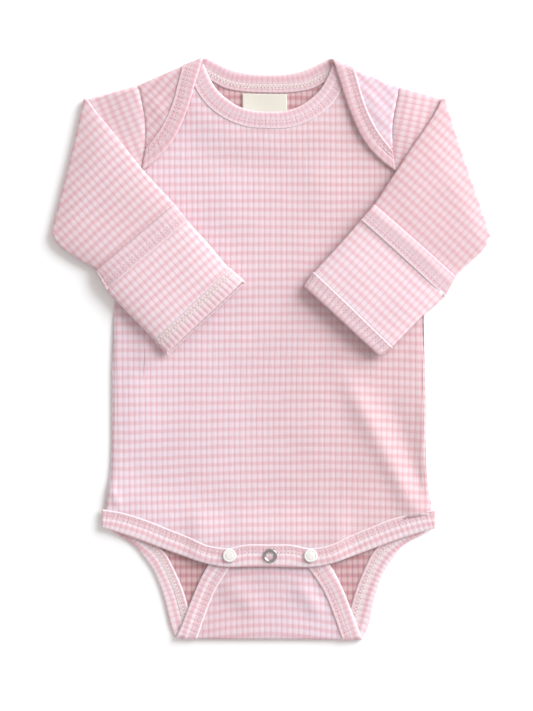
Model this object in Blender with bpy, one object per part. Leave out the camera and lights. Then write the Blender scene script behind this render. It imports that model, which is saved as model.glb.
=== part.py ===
"""Baby bodysuit, laid flat: long sleeves, an envelope neck, mitten cuffs and a snapped crotch.

Millimetres in the tables, metres in the meshes. +Y points to the neck, +Z up from the surface
that the back lies on. Every cloth piece is drawn in its flat pattern and then laid: the back
panel folds forward at both shoulders and at the crotch, and each sleeve folds once across the
chest. Body tables give the half at +X, and both halves are made from them.
"""

import math

import bmesh
import bpy
from mathutils import Vector
from mathutils.geometry import delaunay_2d_cdt

MM = 0.001
WALL = 1.0  # panel cloth
BAR = 2.0  # a binding, folded round the raw edge
LIFT = (BAR - WALL) / 2  # a binding stands this much over its panel
GAP = 0.3  # between pieces
RIB_PITCH = 3.8
RIB_RISE = 0.3
EDGE_STEP = 6.0  # along an outline
FOLD_STEP = 1.6  # along an outline, across a fold
ROW_STEP = 24.0  # along a rib
GRID_STEP = 26.0  # plain cloth
UNDER_EVERY = 8  # the front's plain side bends at every eighth rib line
BINDING_EDGE = 0.6  # how far a binding's edge is rounded

# Heights of the cloth's middle, from the surface up.
BACK_MID = WALL / 2
FRONT_UNDER = WALL + GAP
FLAP_MID_AT_FOLD = BACK_MID + BAR + GAP
FLAP_MID = FRONT_UNDER + WALL / 2
LAP_MID = 5.2
LAP_MID_AT_TIP = 3.4
FRONT_NECK_UNDER = 2.4
HEM_UNDER = BAR + GAP
PLACKET_UNDER = 3.6
RISE_LENGTH = 26.0  # over which the front comes down from its bindings

SHOULDER_PEAK = Vector((42.0, 198.4))
SHOULDER_END = Vector((88.4, 179.2))
CROTCH_Y = -197.0

# (x, y)
ARMHOLE = (
    (88.0, 177.0), (86.4, 168.0), (84.4, 157.0), (83.9, 148.5), (84.6, 138.0),
    (86.6, 126.5), (88.8, 118.0), (92.8, 108.3), (98.6, 95.0), (104.0, 85.0),
)  # fmt: skip
LAP_ARMHOLE_ROWS = 5  # the first rows of ARMHOLE, which the lap shares
SIDE = ((104.0, 85.0), (104.4, 20.0), (105.9, -40.0), (107.0, -75.0), (109.0, -95.0))
NECK_FREE_BACK = ((0.0, 186.8), (10.0, 187.1), (21.0, 188.8), (30.0, 191.8), (36.0, 194.8))
NECK_FREE_LAP = (
    (46.6, 189.4), (49.2, 181.6), (51.9, 172.4), (55.3, 162.2), (60.0, 151.0),
    (66.0, 140.5), (72.6, 132.6), (79.0, 126.8), (87.2, 120.8),
)  # fmt: skip
NECK_INNER_BACK = ((0.0, 174.4), (12.0, 174.5), (22.0, 175.4), (30.2, 177.3), (38.7, 181.6))
NECK_INNER_LAP = (
    (61.6, 180.5), (64.5, 170.0), (68.5, 159.5), (74.0, 149.3), (80.0, 141.0), (84.4, 135.6),
)  # fmt: skip
FRONT_NECK_FREE = (
    (0.0, 161.3), (10.6, 162.0), (20.8, 165.0), (29.6, 170.8), (35.5, 176.6), (39.8, 183.5),
    (43.0, 190.6),
)  # fmt: skip
FRONT_NECK_INNER = (
    (0.0, 149.4), (12.0, 149.9), (22.0, 152.4), (31.5, 156.8), (40.0, 163.0), (46.5, 170.5),
    (50.5, 177.5), (54.0, 186.2),
)  # fmt: skip
HEM_FREE = (
    (0.0, -147.0), (27.5, -147.2), (41.4, -145.2), (54.8, -141.3), (70.5, -136.0),
    (90.0, -129.2), (105.5, -124.0), (113.4, -121.8), (115.4, -116.0), (113.6, -109.3),
)  # fmt: skip
HEM_INNER = (
    (0.0, -131.6), (15.0, -131.6), (28.2, -134.0), (41.8, -132.2), (55.0, -126.6),
    (69.0, -121.2), (82.5, -115.9), (99.5, -110.9), (111.5, -108.7),
)  # fmt: skip
LEG_FREE = (
    (111.5, -119.5), (105.5, -125.8), (98.6, -129.3), (91.5, -134.2), (85.3, -142.0),
    (79.5, -150.5), (74.9, -161.0), (71.5, -171.5), (68.9, -182.0), (66.4, -190.5),
)  # fmt: skip
LEG_INNER = (
    (106.5, -107.5), (98.0, -116.5), (89.0, -122.8), (80.0, -129.6), (71.7, -137.6),
    (66.3, -147.0), (61.6, -157.0), (58.2, -165.5), (55.4, -175.0), (53.0, -184.0),
    (51.3, -190.5),
)  # fmt: skip
FLAP_FREE = (
    (60.2, -188.5), (56.8, -179.5), (53.6, -171.0), (50.0, -162.0), (46.0, -153.2),
    (41.9, -145.9), (35.5, -135.0),
)  # fmt: skip
FLAP_INNER = (
    (46.6, -188.5), (43.4, -179.5), (40.6, -172.0), (36.3, -162.2), (31.2, -154.0),
    (26.8, -147.5), (19.5, -135.0),
)  # fmt: skip

# Sections of a forearm from the fold to the cuff's end: upper edge x, y, lower edge x, y, and
# the height of the underside at either edge.
FOREARM_LEFT = (
    (-126.4, 170.7, -147.7, 78.0, 2.9, 2.9),
    (-105.2, 146.0, -140.2, 69.5, 4.8, 2.9),
    (-85.2, 121.0, -128.7, 61.5, 5.4, 2.8),
    (-64.5, 98.3, -116.8, 54.1, 5.2, 2.8),
    (-55.6, 86.7, -109.4, 40.5, 5.0, 3.3),
    (-41.2, 71.0, -97.8, 28.2, 4.8, 3.9),
    (-27.1, 54.5, -76.7, 6.5, 4.6, 4.5),
    (-17.6, 45.9, -68.6, -2.4, 4.6, 4.6),
)
FOREARM_RIGHT = (
    (120.5, 171.0, 151.8, 77.0, 2.9, 2.9),
    (102.5, 144.7, 145.3, 67.5, 4.8, 2.9),
    (86.5, 120.5, 135.8, 59.5, 5.4, 2.8),
    (71.5, 98.3, 126.6, 50.0, 5.2, 2.8),
    (62.0, 87.4, 118.4, 35.7, 5.0, 3.3),
    (46.8, 70.5, 104.8, 24.0, 4.8, 3.9),
    (30.0, 52.0, 83.1, 1.7, 4.6, 4.5),
    (23.2, 41.8, 74.2, -4.4, 4.6, 4.6),
)
BAND_START, BAND_END, CUFF_START, CUFF_END = 3.0, 4.0, 6.0, 7.0  # rows of the tables above
UPPER_RINGS = (0.0, 0.05, 0.35, 0.7)  # shares of the way from the armhole to the fold
FOLD_RINGS = ((45, ""), (90, "flat"), (135, "flat"))  # degrees round the fold, back layer's ribs
FOREARM_RINGS = (0.0, 0.12, 0.6, 1.2, 1.8, 2.4, 2.85)  # rows, up to the mitten's band
COVERED_RINGS = (3.1, 4.0, 5.0, CUFF_START - 0.03)
CUFF_RINGS = (CUFF_START, CUFF_START + 0.1, 6.5, CUFF_END - 0.1, CUFF_END)
CUFF_EDGE = 0.5  # how far a cuff's two ends are drawn in
CUFF_WALL = 1.4
MITTEN_RINGS = (BAND_END + 0.03, BAND_END + 0.15, 5.0, CUFF_START - 0.18, CUFF_START - 0.03)
MITTEN_INSET = 0.3  # its sides lie this far inside the forearm's
MITTEN_CORNERS = 5  # across its plain side
TUBE_HALF = WALL + GAP / 2  # half a flat sleeve's thickness
SLEEVE_FOLD_RADIUS = 1.45
PLAIN_STOPS = 5  # across a layer with no ribs
FAR_KEY = 1000.0  # the first key of a row's lower end
SLEEVE_TOP = Vector((88.5, 179.4))

LABEL = {"left": -17.4, "right": 13.2, "top": 173.6, "bottom": 155.5, "thick": 0.8}
SNAP_X = (-27.1, 1.1, 28.7)
SNAP_Y = -139.2
SNAP_RADIUS = 4.7
SNAP_HOLE = 2.4
SNAP_SIDES = 24
# (radius, height) round a snap's section
RING_PROFILE = (
    (SNAP_HOLE, 0.0), (SNAP_RADIUS - 0.5, 0.0), (SNAP_RADIUS, 0.4), (SNAP_RADIUS - 0.3, 0.9),
    (SNAP_RADIUS - 1.1, 1.4), (SNAP_HOLE + 0.7, 1.4), (SNAP_HOLE, 0.8), (SNAP_HOLE, 0.0),
)  # fmt: skip
CAP_PROFILE = (
    (0.0, 0.0), (SNAP_RADIUS - 0.5, 0.0), (SNAP_RADIUS, 0.4), (SNAP_RADIUS - 0.3, 0.9),
    (SNAP_RADIUS - 1.1, 1.4), (SNAP_RADIUS - 1.7, 1.1), (1.8, 1.45), (0.0, 1.6),
)  # fmt: skip

PINK = (0.84, 0.52, 0.55, 1.0)
PALE_PINK = (0.88, 0.60, 0.62, 1.0)
CREAM = (0.80, 0.76, 0.66, 1.0)
WHITE = (0.85, 0.83, 0.83, 1.0)
STEEL = (0.55, 0.53, 0.52, 1.0)


def smooth(t):
    t = min(max(t, 0.0), 1.0)
    return t * t * (3.0 - 2.0 * t)


def lerp(a, b, t):
    return a + (b - a) * t


def spline(rows, step):
    """A smooth curve through the rows, as points about a step apart. step may depend on where."""
    rows = [Vector(row) for row in rows]
    points = []
    for i in range(len(rows) - 1):
        p1, p2 = rows[i], rows[i + 1]
        p0 = rows[i - 1] if i else p1 * 2 - p2
        p3 = rows[i + 2] if i + 2 < len(rows) else p2 * 2 - p1
        here = step(lerp(p1, p2, 0.5)) if callable(step) else step
        pieces = max(1, round((p2 - p1).length / here))
        for j in range(pieces):
            t = j / pieces
            tangents = (p2 - p0) * t + (p0 * 2 - p1 * 5 + p2 * 4 - p3) * t * t
            points.append(p1 + (tangents + (p1 * 3 - p0 - p2 * 3 + p3) * t**3) / 2)
    return points + [rows[-1]]


def offset(path, distance):
    """The path moved to its left by the distance."""
    moved = []
    for i, point in enumerate(path):
        along = (path[min(i + 1, len(path) - 1)] - path[max(i - 1, 0)]).normalized()
        moved.append(point + Vector((-along.y, along.x)) * distance)
    return moved


def mirrored(path):
    return [Vector((-point.x, point.y)) for point in path]


def both_halves(path):
    """A path that starts on the centre line, with its mirror image before it."""
    return mirrored(path)[:0:-1] + path


class Fold:
    """A straight fold: the pattern beyond its line goes round a half cylinder and lies on top."""

    def __init__(self, silhouette, outward, half_wall, lower_mid, upper_mid):
        self.outward = outward.normalized()
        self.radius = (upper_mid - lower_mid) / 2
        self.start = silhouette - self.outward * (self.radius + half_wall)
        self.length = math.pi * self.radius
        self.lower_mid = lower_mid

    def beyond(self, point):
        return (point - self.start).dot(self.outward)

    def unfold(self, laid):
        """The pattern point that comes to lie at this place on the upper layer."""
        inside = -self.beyond(laid)
        return laid + self.outward * (2 * inside + self.length)

    def place(self, point, n):
        """Where a pattern point beyond the line lies, n being its distance to the inner side."""
        distance = self.beyond(point)
        foot = point - self.outward * distance
        if distance >= self.length:
            laid = foot - self.outward * (distance - self.length)
            return laid, self.lower_mid + 2 * self.radius - n
        angle = distance / self.radius
        reach = (self.radius - n) * math.sin(angle)
        return foot + self.outward * reach, (
            self.lower_mid + self.radius - (self.radius - n) * math.cos(angle)
        )


SHOULDER_OUT = Vector(
    (SHOULDER_PEAK.y - SHOULDER_END.y, SHOULDER_END.x - SHOULDER_PEAK.x)
)
SHOULDER = Fold(SHOULDER_PEAK, SHOULDER_OUT, WALL / 2, BACK_MID, LAP_MID)
CROTCH = Fold(Vector((0.0, CROTCH_Y)), Vector((0.0, -1.0)), WALL, BACK_MID, FLAP_MID_AT_FOLD)


def lap_mid(y):
    return lerp(LAP_MID_AT_TIP, LAP_MID, smooth((y - 124.0) / 40.0))


def place_back(point, n):
    """A point of the back panel's pattern, laid. n runs from the outer side to the inner one."""
    side = 1.0 if point.x >= 0 else -1.0
    half = Vector((abs(point.x), point.y))
    if SHOULDER.beyond(half) > 0:
        laid, z = SHOULDER.place(half, n)
        if SHOULDER.beyond(half) > SHOULDER.length:
            z += lap_mid(laid.y) - LAP_MID
    elif CROTCH.beyond(half) > 0:
        laid, z = CROTCH.place(half, n)
        if CROTCH.beyond(half) > CROTCH.length:
            settle = smooth((laid.y - CROTCH.start.y) / 26.0)
            z += (FLAP_MID - FLAP_MID_AT_FOLD) * settle
    else:
        laid, z = half, BACK_MID + n
    return Vector((side * laid.x, laid.y, z))


def place_back_binding(point, n):
    return place_back(point, n) + Vector((0.0, 0.0, LIFT))


def hem_under(x):
    """The underside of the front's hem binding: it lies on the flap's bindings at the centre."""
    return lerp(PLACKET_UNDER, HEM_UNDER, smooth((abs(x) - 46.0) / 14.0))


NECK_LINE = spline(FRONT_NECK_INNER, 8.0)
HEM_LINE = spline(HEM_INNER, 8.0)


def distance_to(line, point):
    half = Vector((abs(point.x), point.y))
    return min((half - corner).length for corner in line)


def place_front(point, n):
    near_neck = 1.0 - smooth((distance_to(NECK_LINE, point) - 4.0) / RISE_LENGTH)
    near_hem = 1.0 - smooth((distance_to(HEM_LINE, point) - 4.0) / RISE_LENGTH)
    under = FRONT_UNDER
    under += (FRONT_NECK_UNDER + LIFT - FRONT_UNDER) * near_neck
    under += (hem_under(point.x) + LIFT - FRONT_UNDER) * near_hem
    return Vector((point.x, point.y, under + WALL / 2 + n))


def place_hem(point, n):
    return Vector((point.x, point.y, hem_under(point.x) + BAR / 2 + n))


def place_front_neck(point, n):
    return Vector((point.x, point.y, FRONT_NECK_UNDER + BAR / 2 + n))


def crossings(outline, x):
    """The heights at which the outline crosses this x, lowest first."""
    found = []
    for a, b in zip(outline, outline[1:] + outline[:1]):
        if (a.x > x) != (b.x > x):
            found.append(a.y + (b.y - a.y) * (x - a.x) / (b.x - a.x))
    return sorted(found)


def spans(outline, x, margin):
    """The stretches of this x that lie in the outline by more than the margin."""
    heights = crossings(outline, x)
    pairs = [(low + margin, high - margin) for low, high in zip(heights[::2], heights[1::2])]
    return [pair for pair in pairs if pair[1] - pair[0] > margin]


def clear_of(outline, point, margin):
    return all((corner - point).length > margin for corner in outline)


class Pattern:
    """One cut piece: its outline, and the lines and points inside it that its shape needs."""

    def __init__(self, outline):
        self.outline = outline
        self.inner_points = []
        self.lines = []
        self.rib_lines = []

    def add_grid(self, step=GRID_STEP):
        low = min(point.x for point in self.outline)
        high = max(point.x for point in self.outline)
        columns = max(2, round((high - low) / step))
        for i in range(1, columns):
            x = lerp(low, high, i / columns)
            for bottom, top in spans(self.outline, x, 3.0):
                rows = max(1, round((top - bottom) / step))
                for j in range(rows + 1):
                    point = Vector((x, lerp(bottom, top, j / rows)))
                    if clear_of(self.outline, point, 3.0) and self.clear_of_lines(point):
                        self.inner_points.append(point)

    def clear_of_lines(self, point):
        return all(clear_of(line, point, 4.0) for line in self.lines)

    def add_fold(self, fold, side, spacing=7.0, steps=4):
        """Lines along a fold, so that the cloth bends round it."""
        along = Vector((fold.outward.y, -fold.outward.x))
        for k in range(steps + 1):
            base = fold.start + fold.outward * (fold.length * k / steps)
            line = []
            for i in range(-40, 41):
                point = base + along * (i * spacing)
                point = Vector((side * point.x, point.y))
                inside = any(low < point.y < high for low, high in spans(self.outline, point.x, 0.4))
                if inside and clear_of(self.outline, point, 1.3):
                    line.append(point)
            if line:
                self.lines.append(line)

    def add_ribs(self, in_region, margin=2.2):
        """A line along each rib's crest and each valley, with whether it is a crest."""
        reach = max(abs(point.x) for point in self.outline)
        count = int(reach / (RIB_PITCH / 2))
        for i in range(-count, count + 1):
            x = i * RIB_PITCH / 2
            for bottom, top in spans(self.outline, x, margin):
                bottom, top = in_region(x, bottom, top)
                if top - bottom < margin:
                    continue
                rows = max(1, round((top - bottom) / ROW_STEP))
                line = [Vector((x, lerp(bottom, top, j / rows))) for j in range(rows + 1)]
                self.rib_lines.append((line, i % 2 == 0))

    def triangles(self, outline, with_ribs):
        """The pattern's points, the rib height at each, and its triangles.

        The ribbed side bends at its rib lines, and the plain side at the inner points.
        """
        points = list(outline)
        rises = [0.0] * len(points)
        edges = [(i, (i + 1) % len(outline)) for i in range(len(outline))]
        lines = [(line, 0.0) for line in self.lines]
        if with_ribs:
            lines += [(line, RIB_RISE if crest else 0.0) for line, crest in self.rib_lines]
        for line, rise in lines:
            first = len(points)
            points += line
            rises += [rise] * len(line)
            edges += [(first + i, first + i + 1) for i in range(len(line) - 1)]
        if not with_ribs:
            points += self.inner_points
            rises += [0.0] * len(self.inner_points)
        made = delaunay_2d_cdt(points, edges, [list(range(len(outline)))], 1, 1e-5)
        rise_of = [max((rises[i] for i in origins), default=0.0) for origins in made[3]]
        first_of = [origins[0] if origins else -1 for origins in made[3]]
        return made[0], rise_of, first_of, made[2]


def finish(name, bm, colour, roughness=0.9, metallic=0.0, angle=40.0):
    """The object that a closed bmesh in millimetres makes."""
    bmesh.ops.remove_doubles(bm, verts=bm.verts, dist=1e-5)
    bmesh.ops.triangulate(bm, faces=bm.faces)
    bmesh.ops.recalc_face_normals(bm, faces=bm.faces)
    bmesh.ops.scale(bm, vec=Vector((MM, MM, MM)), verts=bm.verts)
    mesh = bpy.data.meshes.new(name)
    bm.to_mesh(mesh)
    bm.free()
    mesh.shade_smooth()
    mesh.set_sharp_from_angle(angle=math.radians(angle))
    material = bpy.data.materials.new(name)
    material.use_nodes = True
    shader = material.node_tree.nodes["Principled BSDF"]
    shader.inputs["Base Color"].default_value = colour
    shader.inputs["Roughness"].default_value = roughness
    shader.inputs["Metallic"].default_value = metallic
    mesh.materials.append(material)
    made = bpy.data.objects.new(name, mesh)
    bpy.context.scene.collection.objects.link(made)
    return made


def sheet(name, pattern, place, thick, colour, outer=1.0, rounded=0.0, ribbed=None):
    """A wall of cloth on a pattern. outer is the sign of n on its ribbed side."""
    bm = bmesh.new()
    core = offset_loop(pattern.outline, rounded) if rounded else pattern.outline
    rims = []
    for sign in (1.0, -1.0):
        with_ribs = bool(pattern.rib_lines) and sign == outer
        points, rises, origins, faces = pattern.triangles(core, with_ribs)
        verts = [
            bm.verts.new(place(point, sign * (thick / 2 + rise)))
            for point, rise in zip(points, rises)
        ]
        for face in faces:
            bm.faces.new([verts[i] for i in face])
        at = {origin: vert for origin, vert in zip(origins, verts) if 0 <= origin < len(core)}
        rims.append([at[i] for i in range(len(core))])
    rows = [rims[0], rims[1]]
    if rounded:
        middle = [
            [bm.verts.new(place(point, sign * (thick / 2 - rounded))) for point in pattern.outline]
            for sign in (1.0, -1.0)
        ]
        rows = [rims[0], middle[0], middle[1], rims[1]]
    for upper, lower in zip(rows, rows[1:]):
        for i in range(len(upper)):
            j = (i + 1) % len(upper)
            bm.faces.new((upper[i], upper[j], lower[j], lower[i]))
    return finish(name, bm, colour)


def offset_loop(loop, inward):
    """A closed counter-clockwise outline moved inward."""
    moved = []
    for i, point in enumerate(loop):
        before = (point - loop[i - 1]).normalized()
        after = (loop[(i + 1) % len(loop)] - point).normalized()
        turn = Vector((-before.y - after.y, before.x + after.x)).normalized()
        reach = inward / max(0.6, turn.dot(Vector((-after.y, after.x))))
        moved.append(point + turn * reach)
    return moved


def counter_clockwise(loop):
    area = sum(a.cross(b) for a, b in zip(loop, loop[1:] + loop[:1]))
    loop = loop if area > 0 else loop[::-1]
    return [point for i, point in enumerate(loop) if (point - loop[i - 1]).length > 0.3]


def fold_step(point):
    """Fine steps where an outline crosses a fold."""
    half = Vector((abs(point.x), point.y))
    for fold in (SHOULDER, CROTCH):
        if -8.0 < fold.beyond(half) < fold.length + 8.0:
            return FOLD_STEP
    return EDGE_STEP


def shoulder_pattern(rows):
    return [SHOULDER.unfold(Vector(row)) for row in rows]


def crotch_pattern(rows):
    return [CROTCH.unfold(Vector(row)) for row in rows]


def neck_edge(back_rows, lap_rows):
    return spline([Vector(row) for row in back_rows] + shoulder_pattern(lap_rows), fold_step)


def leg_edge(back_rows, flap_rows):
    return spline([Vector(row) for row in back_rows] + crotch_pattern(flap_rows), fold_step)


def back_outline():
    neck = offset(neck_edge(NECK_INNER_BACK, NECK_INNER_LAP), -GAP)
    lap_rows = ARMHOLE[:LAP_ARMHOLE_ROWS]
    lap_armhole = shoulder_pattern(((84.5, 136.6),) + lap_rows[::-1])
    armhole = spline(lap_armhole + [Vector(row) for row in ARMHOLE], fold_step)
    side = spline(SIDE + ((106.3, -106.5),), 40.0)
    leg = offset(leg_edge(LEG_INNER, FLAP_INNER), -GAP)
    half = neck[:-1] + armhole[:-1] + side[:-1] + leg
    return counter_clockwise(half + mirrored(half)[::-1])


def flap_region(x, bottom, top):
    """The part of a rib that lies beyond a fold."""
    crotch_end = CROTCH.start.y - CROTCH.length - 1.5
    return bottom, min(top, crotch_end)


def lap_region(x, bottom, top):
    shoulder_end = SHOULDER.start + SHOULDER.outward * (SHOULDER.length + 1.5)
    slope = SHOULDER.outward.x / SHOULDER.outward.y
    return max(bottom, shoulder_end.y - (abs(x) - shoulder_end.x) * slope), top


def build_back():
    pattern = Pattern(back_outline())
    for side in (1.0, -1.0):
        pattern.add_fold(SHOULDER, side)
    pattern.add_fold(CROTCH, 1.0)
    pattern.add_ribs(flap_region)
    pattern.add_ribs(lap_region)
    rib_lines = [line for line, crest in pattern.rib_lines]
    pattern.add_grid()
    pattern.inner_points = [
        point
        for point in pattern.inner_points
        if all(clear_of(line, point, 3.0) for line in rib_lines)
    ]
    sheet("back_panel", pattern, place_back, WALL, PINK, outer=-1.0)


def ribbon(name, free, inner, place, fold_sides=(), folds=(), colour=PALE_PINK):
    """A binding between its free edge and its inner edge."""
    pattern = Pattern(counter_clockwise(free + inner[::-1]))
    for fold in folds:
        for side in fold_sides:
            pattern.add_fold(fold, side, spacing=3.0)
    return sheet(name, pattern, place, BAR, colour, rounded=BINDING_EDGE)


def build_bindings():
    neck_free = both_halves(neck_edge(NECK_FREE_BACK, NECK_FREE_LAP))
    neck_inner = both_halves(neck_edge(NECK_INNER_BACK, NECK_INNER_LAP))
    ribbon(
        "neck_binding_back", neck_free, neck_inner, place_back_binding, (1.0, -1.0), (SHOULDER,)
    )
    ribbon(
        "neck_binding_front",
        both_halves(spline(FRONT_NECK_FREE, EDGE_STEP)),
        both_halves(spline(FRONT_NECK_INNER, EDGE_STEP)),
        place_front_neck,
    )
    ribbon(
        "hem_binding_front",
        both_halves(spline(HEM_FREE, EDGE_STEP)),
        both_halves(spline(HEM_INNER, EDGE_STEP)),
        place_hem,
    )
    free, inner = leg_edge(LEG_FREE, FLAP_FREE), leg_edge(LEG_INNER, FLAP_INNER)
    ribbon("leg_binding_right", free, inner, place_back_binding, (1.0,), (CROTCH,))
    ribbon(
        "leg_binding_left", mirrored(free), mirrored(inner), place_back_binding, (-1.0,), (CROTCH,)
    )


def build_front():
    neck = offset(spline(FRONT_NECK_INNER, EDGE_STEP), -GAP)
    shoulder = [Vector((86.6, 172.4))]
    armhole = offset(spline(ARMHOLE[1:], EDGE_STEP), -GAP)
    side = spline(SIDE + ((111.0, -107.6),), 40.0)
    hem = offset(spline(HEM_INNER[::-1], EDGE_STEP), -GAP)
    half = neck + shoulder + armhole[1:-1] + side[:-1] + hem
    pattern = Pattern(counter_clockwise(half[:-1] + [hem[-1]] + mirrored(half)[-2:0:-1]))
    pattern.add_ribs(lambda x, bottom, top: (bottom, top))
    some_lines = pattern.rib_lines[::UNDER_EVERY]
    pattern.inner_points = [point for line, crest in some_lines for point in line]
    sheet("front_panel", pattern, place_front, WALL, PINK)


class Sleeve:
    """A flat tube from the armhole to the cuff, folded once at its outer edge."""

    def __init__(self, side, rows):
        self.side = side
        self.rows = [
            (Vector((side * r[0], r[1])), Vector((side * r[2], r[3])), r[4], r[5]) for r in rows
        ]
        top, bottom = self.rows[0][:2]
        self.fold_along = (bottom - top).normalized()
        self.fold_out = Vector((-self.fold_along.y, self.fold_along.x))
        self.fold_start = top - self.fold_out * (SLEEVE_FOLD_RADIUS + TUBE_HALF)
        self.fold_length = (bottom - top).length
        armhole = spline((SLEEVE_TOP,) + ARMHOLE, 3.0)
        self.armhole = offset(armhole, GAP + 0.1)

    def section(self, t):
        """Both edges and both heights at row t of the table, between rows too."""
        i = min(int(t), len(self.rows) - 2)
        f = t - i
        edges = []
        for k in (0, 1):
            p1, p2 = self.rows[i][k], self.rows[i + 1][k]
            p0 = self.rows[i - 1][k] if i else p1 * 2 - p2
            p3 = self.rows[i + 2][k] if i + 2 < len(self.rows) else p2 * 2 - p1
            tangents = (p2 - p0) * f + (p0 * 2 - p1 * 5 + p2 * 4 - p3) * f * f
            edges.append(p1 + (tangents + (p1 * 3 - p0 - p2 * 3 + p3) * f**3) / 2)
        heights = [lerp(self.rows[i][k], self.rows[i + 1][k], f) for k in (2, 3)]
        return edges[0], edges[1], heights[0], heights[1]

    def on_armhole(self, v):
        """A point at the fraction v of the armhole's length."""
        lengths = [(b - a).length for a, b in zip(self.armhole, self.armhole[1:])]
        want = v * sum(lengths)
        for i, length in enumerate(lengths):
            if want <= length or i == len(lengths) - 1:
                return lerp(self.armhole[i], self.armhole[i + 1], min(want / length, 1.0))
            want -= length

    def upper_ring(self, tau):
        """A ring of the upper arm, from the armhole (0) to the fold (1)."""

        def at(v):
            fold_point = self.fold_start + self.fold_along * (v * self.fold_length)
            point = lerp(self.on_armhole(v), fold_point, tau)
            seam_top = lap_mid(self.on_armhole(v).y) + WALL / 2
            seam_top = lerp(seam_top, 2 * TUBE_HALF, smooth((v - 0.55) / 0.4))
            high = lerp(seam_top, 2 * TUBE_HALF, smooth(tau))
            return point, high / 2, high / 2

        length = lerp(sum_of(self.armhole), self.fold_length, tau)
        return Ring(at, length, Vector((0.0, 0.0, 1.0)))

    def fold_ring(self, angle):
        """A ring on the way round the fold."""
        reach = SLEEVE_FOLD_RADIUS * math.sin(angle)
        z = TUBE_HALF + SLEEVE_FOLD_RADIUS * (1.0 - math.cos(angle))

        def at(v):
            point = self.fold_start + self.fold_along * (v * self.fold_length)
            return point + self.fold_out * reach, z, TUBE_HALF

        out = self.fold_out * -math.sin(angle)
        return Ring(at, self.fold_length, Vector((out.x, out.y, math.cos(angle))))

    def forearm_ring(self, t, half=TUBE_HALF, drop=0.0):
        """A ring of the forearm, which lies face down after the fold."""
        top, bottom, z_top, z_bottom = self.section(t)
        if t == 0.0:
            top = self.fold_start
            bottom = top + self.fold_along * self.fold_length

        def at(v):
            return lerp(top, bottom, v), lerp(z_top, z_bottom, v) - drop + half, half

        return Ring(at, (bottom - top).length, Vector((0.0, 0.0, -1.0)))

    def to_world(self, point):
        return Vector((self.side * point.x, point.y, point.z))


def sum_of(path):
    return sum((b - a).length for a, b in zip(path, path[1:]))


class Ring:
    """A flat ring of a tube: at(v) gives its middle and its half thickness from edge to edge."""

    def __init__(self, at, length, normal):
        self.at = at
        self.length = length
        self.normal = normal

    def row(self, sleeve, side, inset, stops, crest_rise):
        """Points along one layer, each with its stop's key."""
        made = []
        for key, distance, crest in stops:
            middle, z, half = self.at(distance / self.length)
            from_end = min(distance, self.length - distance) - inset
            bend = half * 1.2 - inset
            share = 1.0 - min(max(from_end / bend, 0.0), 1.0)
            height = (half - inset) * math.sqrt(max(0.0, 1.0 - share * share))
            rise = crest_rise if crest and share == 0.0 else 0.0
            point = Vector((middle.x, middle.y, z)) + self.normal * (side * (height + rise))
            made.append((key, sleeve.to_world(point)))
        return made


def stops(length, half, inset, ribbed):
    """Where a layer has points, as (key, distance from the upper edge, is it a crest).

    They are the rounded ends, and each crest and valley or a few plain places between. Rows
    are joined by their keys, so the lower ends of rows of unlike lengths still meet.
    """
    ends = [0.0, half * 0.25, half * 0.7, half * 1.2]
    ends = [inset + e * (1.0 - inset / (half * 1.2)) for e in ends]
    first, last = ends[-1] + 0.9, length - ends[-1] - 0.9
    if ribbed:
        inner = [(i * RIB_PITCH / 2, i % 2 == 0) for i in range(1, int(length / RIB_PITCH * 2) + 1)]
        inner = [stop for stop in inner if first < stop[0] < last]
    else:
        inner = [(lerp(first, last, i / PLAIN_STOPS), False) for i in range(PLAIN_STOPS + 1)]
    low = [(e, e, False) for e in ends]
    high = [(FAR_KEY + i, length - e, False) for i, e in enumerate(reversed(ends))]
    return low + [(distance, distance, crest) for distance, crest in inner] + high


def zip_rows(bm, first, second):
    """Triangles between two rows of (key, vertex)."""
    i = j = 0
    while i < len(first) - 1 or j < len(second) - 1:
        step_first = j == len(second) - 1 or (
            i < len(first) - 1 and first[i + 1][0] <= second[j + 1][0]
        )
        corners = [first[i][1], second[j][1]]
        if step_first:
            i += 1
            corners.append(first[i][1])
        else:
            j += 1
            corners.append(second[j][1])
        if len(set(corners)) == 3:
            bm.faces.new(corners)


def tube(name, sleeve, rings, wall, colour):
    """A tube through rings, each with which of its layers are ribbed, as (ring, front, back)."""
    bm = bmesh.new()
    surfaces = []
    for inset in (0.0, wall):
        made = []
        for ring, front_ribs, back_ribs in rings:
            rows = []
            half_top, half_low = ring.at(0.0)[2], ring.at(1.0)[2]
            for side, ribbed in ((1.0, front_ribs), (-1.0, back_ribs)):
                ribbed = ribbed and inset == 0.0
                places = stops(ring.length, max(half_top, half_low), inset, ribbed)
                rise = RIB_RISE if ribbed == "full" else 0.0
                row = ring.row(sleeve, side, inset, places, rise)
                rows.append([(key, bm.verts.new(point)) for key, point in row])
            front, back = rows
            for end in (0, -1):
                bm.verts.remove(back[end][1])
                back[end] = (back[end][0], front[end][1])
            made.append((front, back))
        surfaces.append(made)
    for made in surfaces:
        for ring_a, ring_b in zip(made, made[1:]):
            for row_a, row_b in zip(ring_a, ring_b):
                zip_rows(bm, row_a, row_b)
    for end in (0, -1):
        for outer_row, inner_row in zip(surfaces[0][end], surfaces[1][end]):
            zip_rows(bm, outer_row, inner_row)
    return finish(name, bm, colour)


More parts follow.
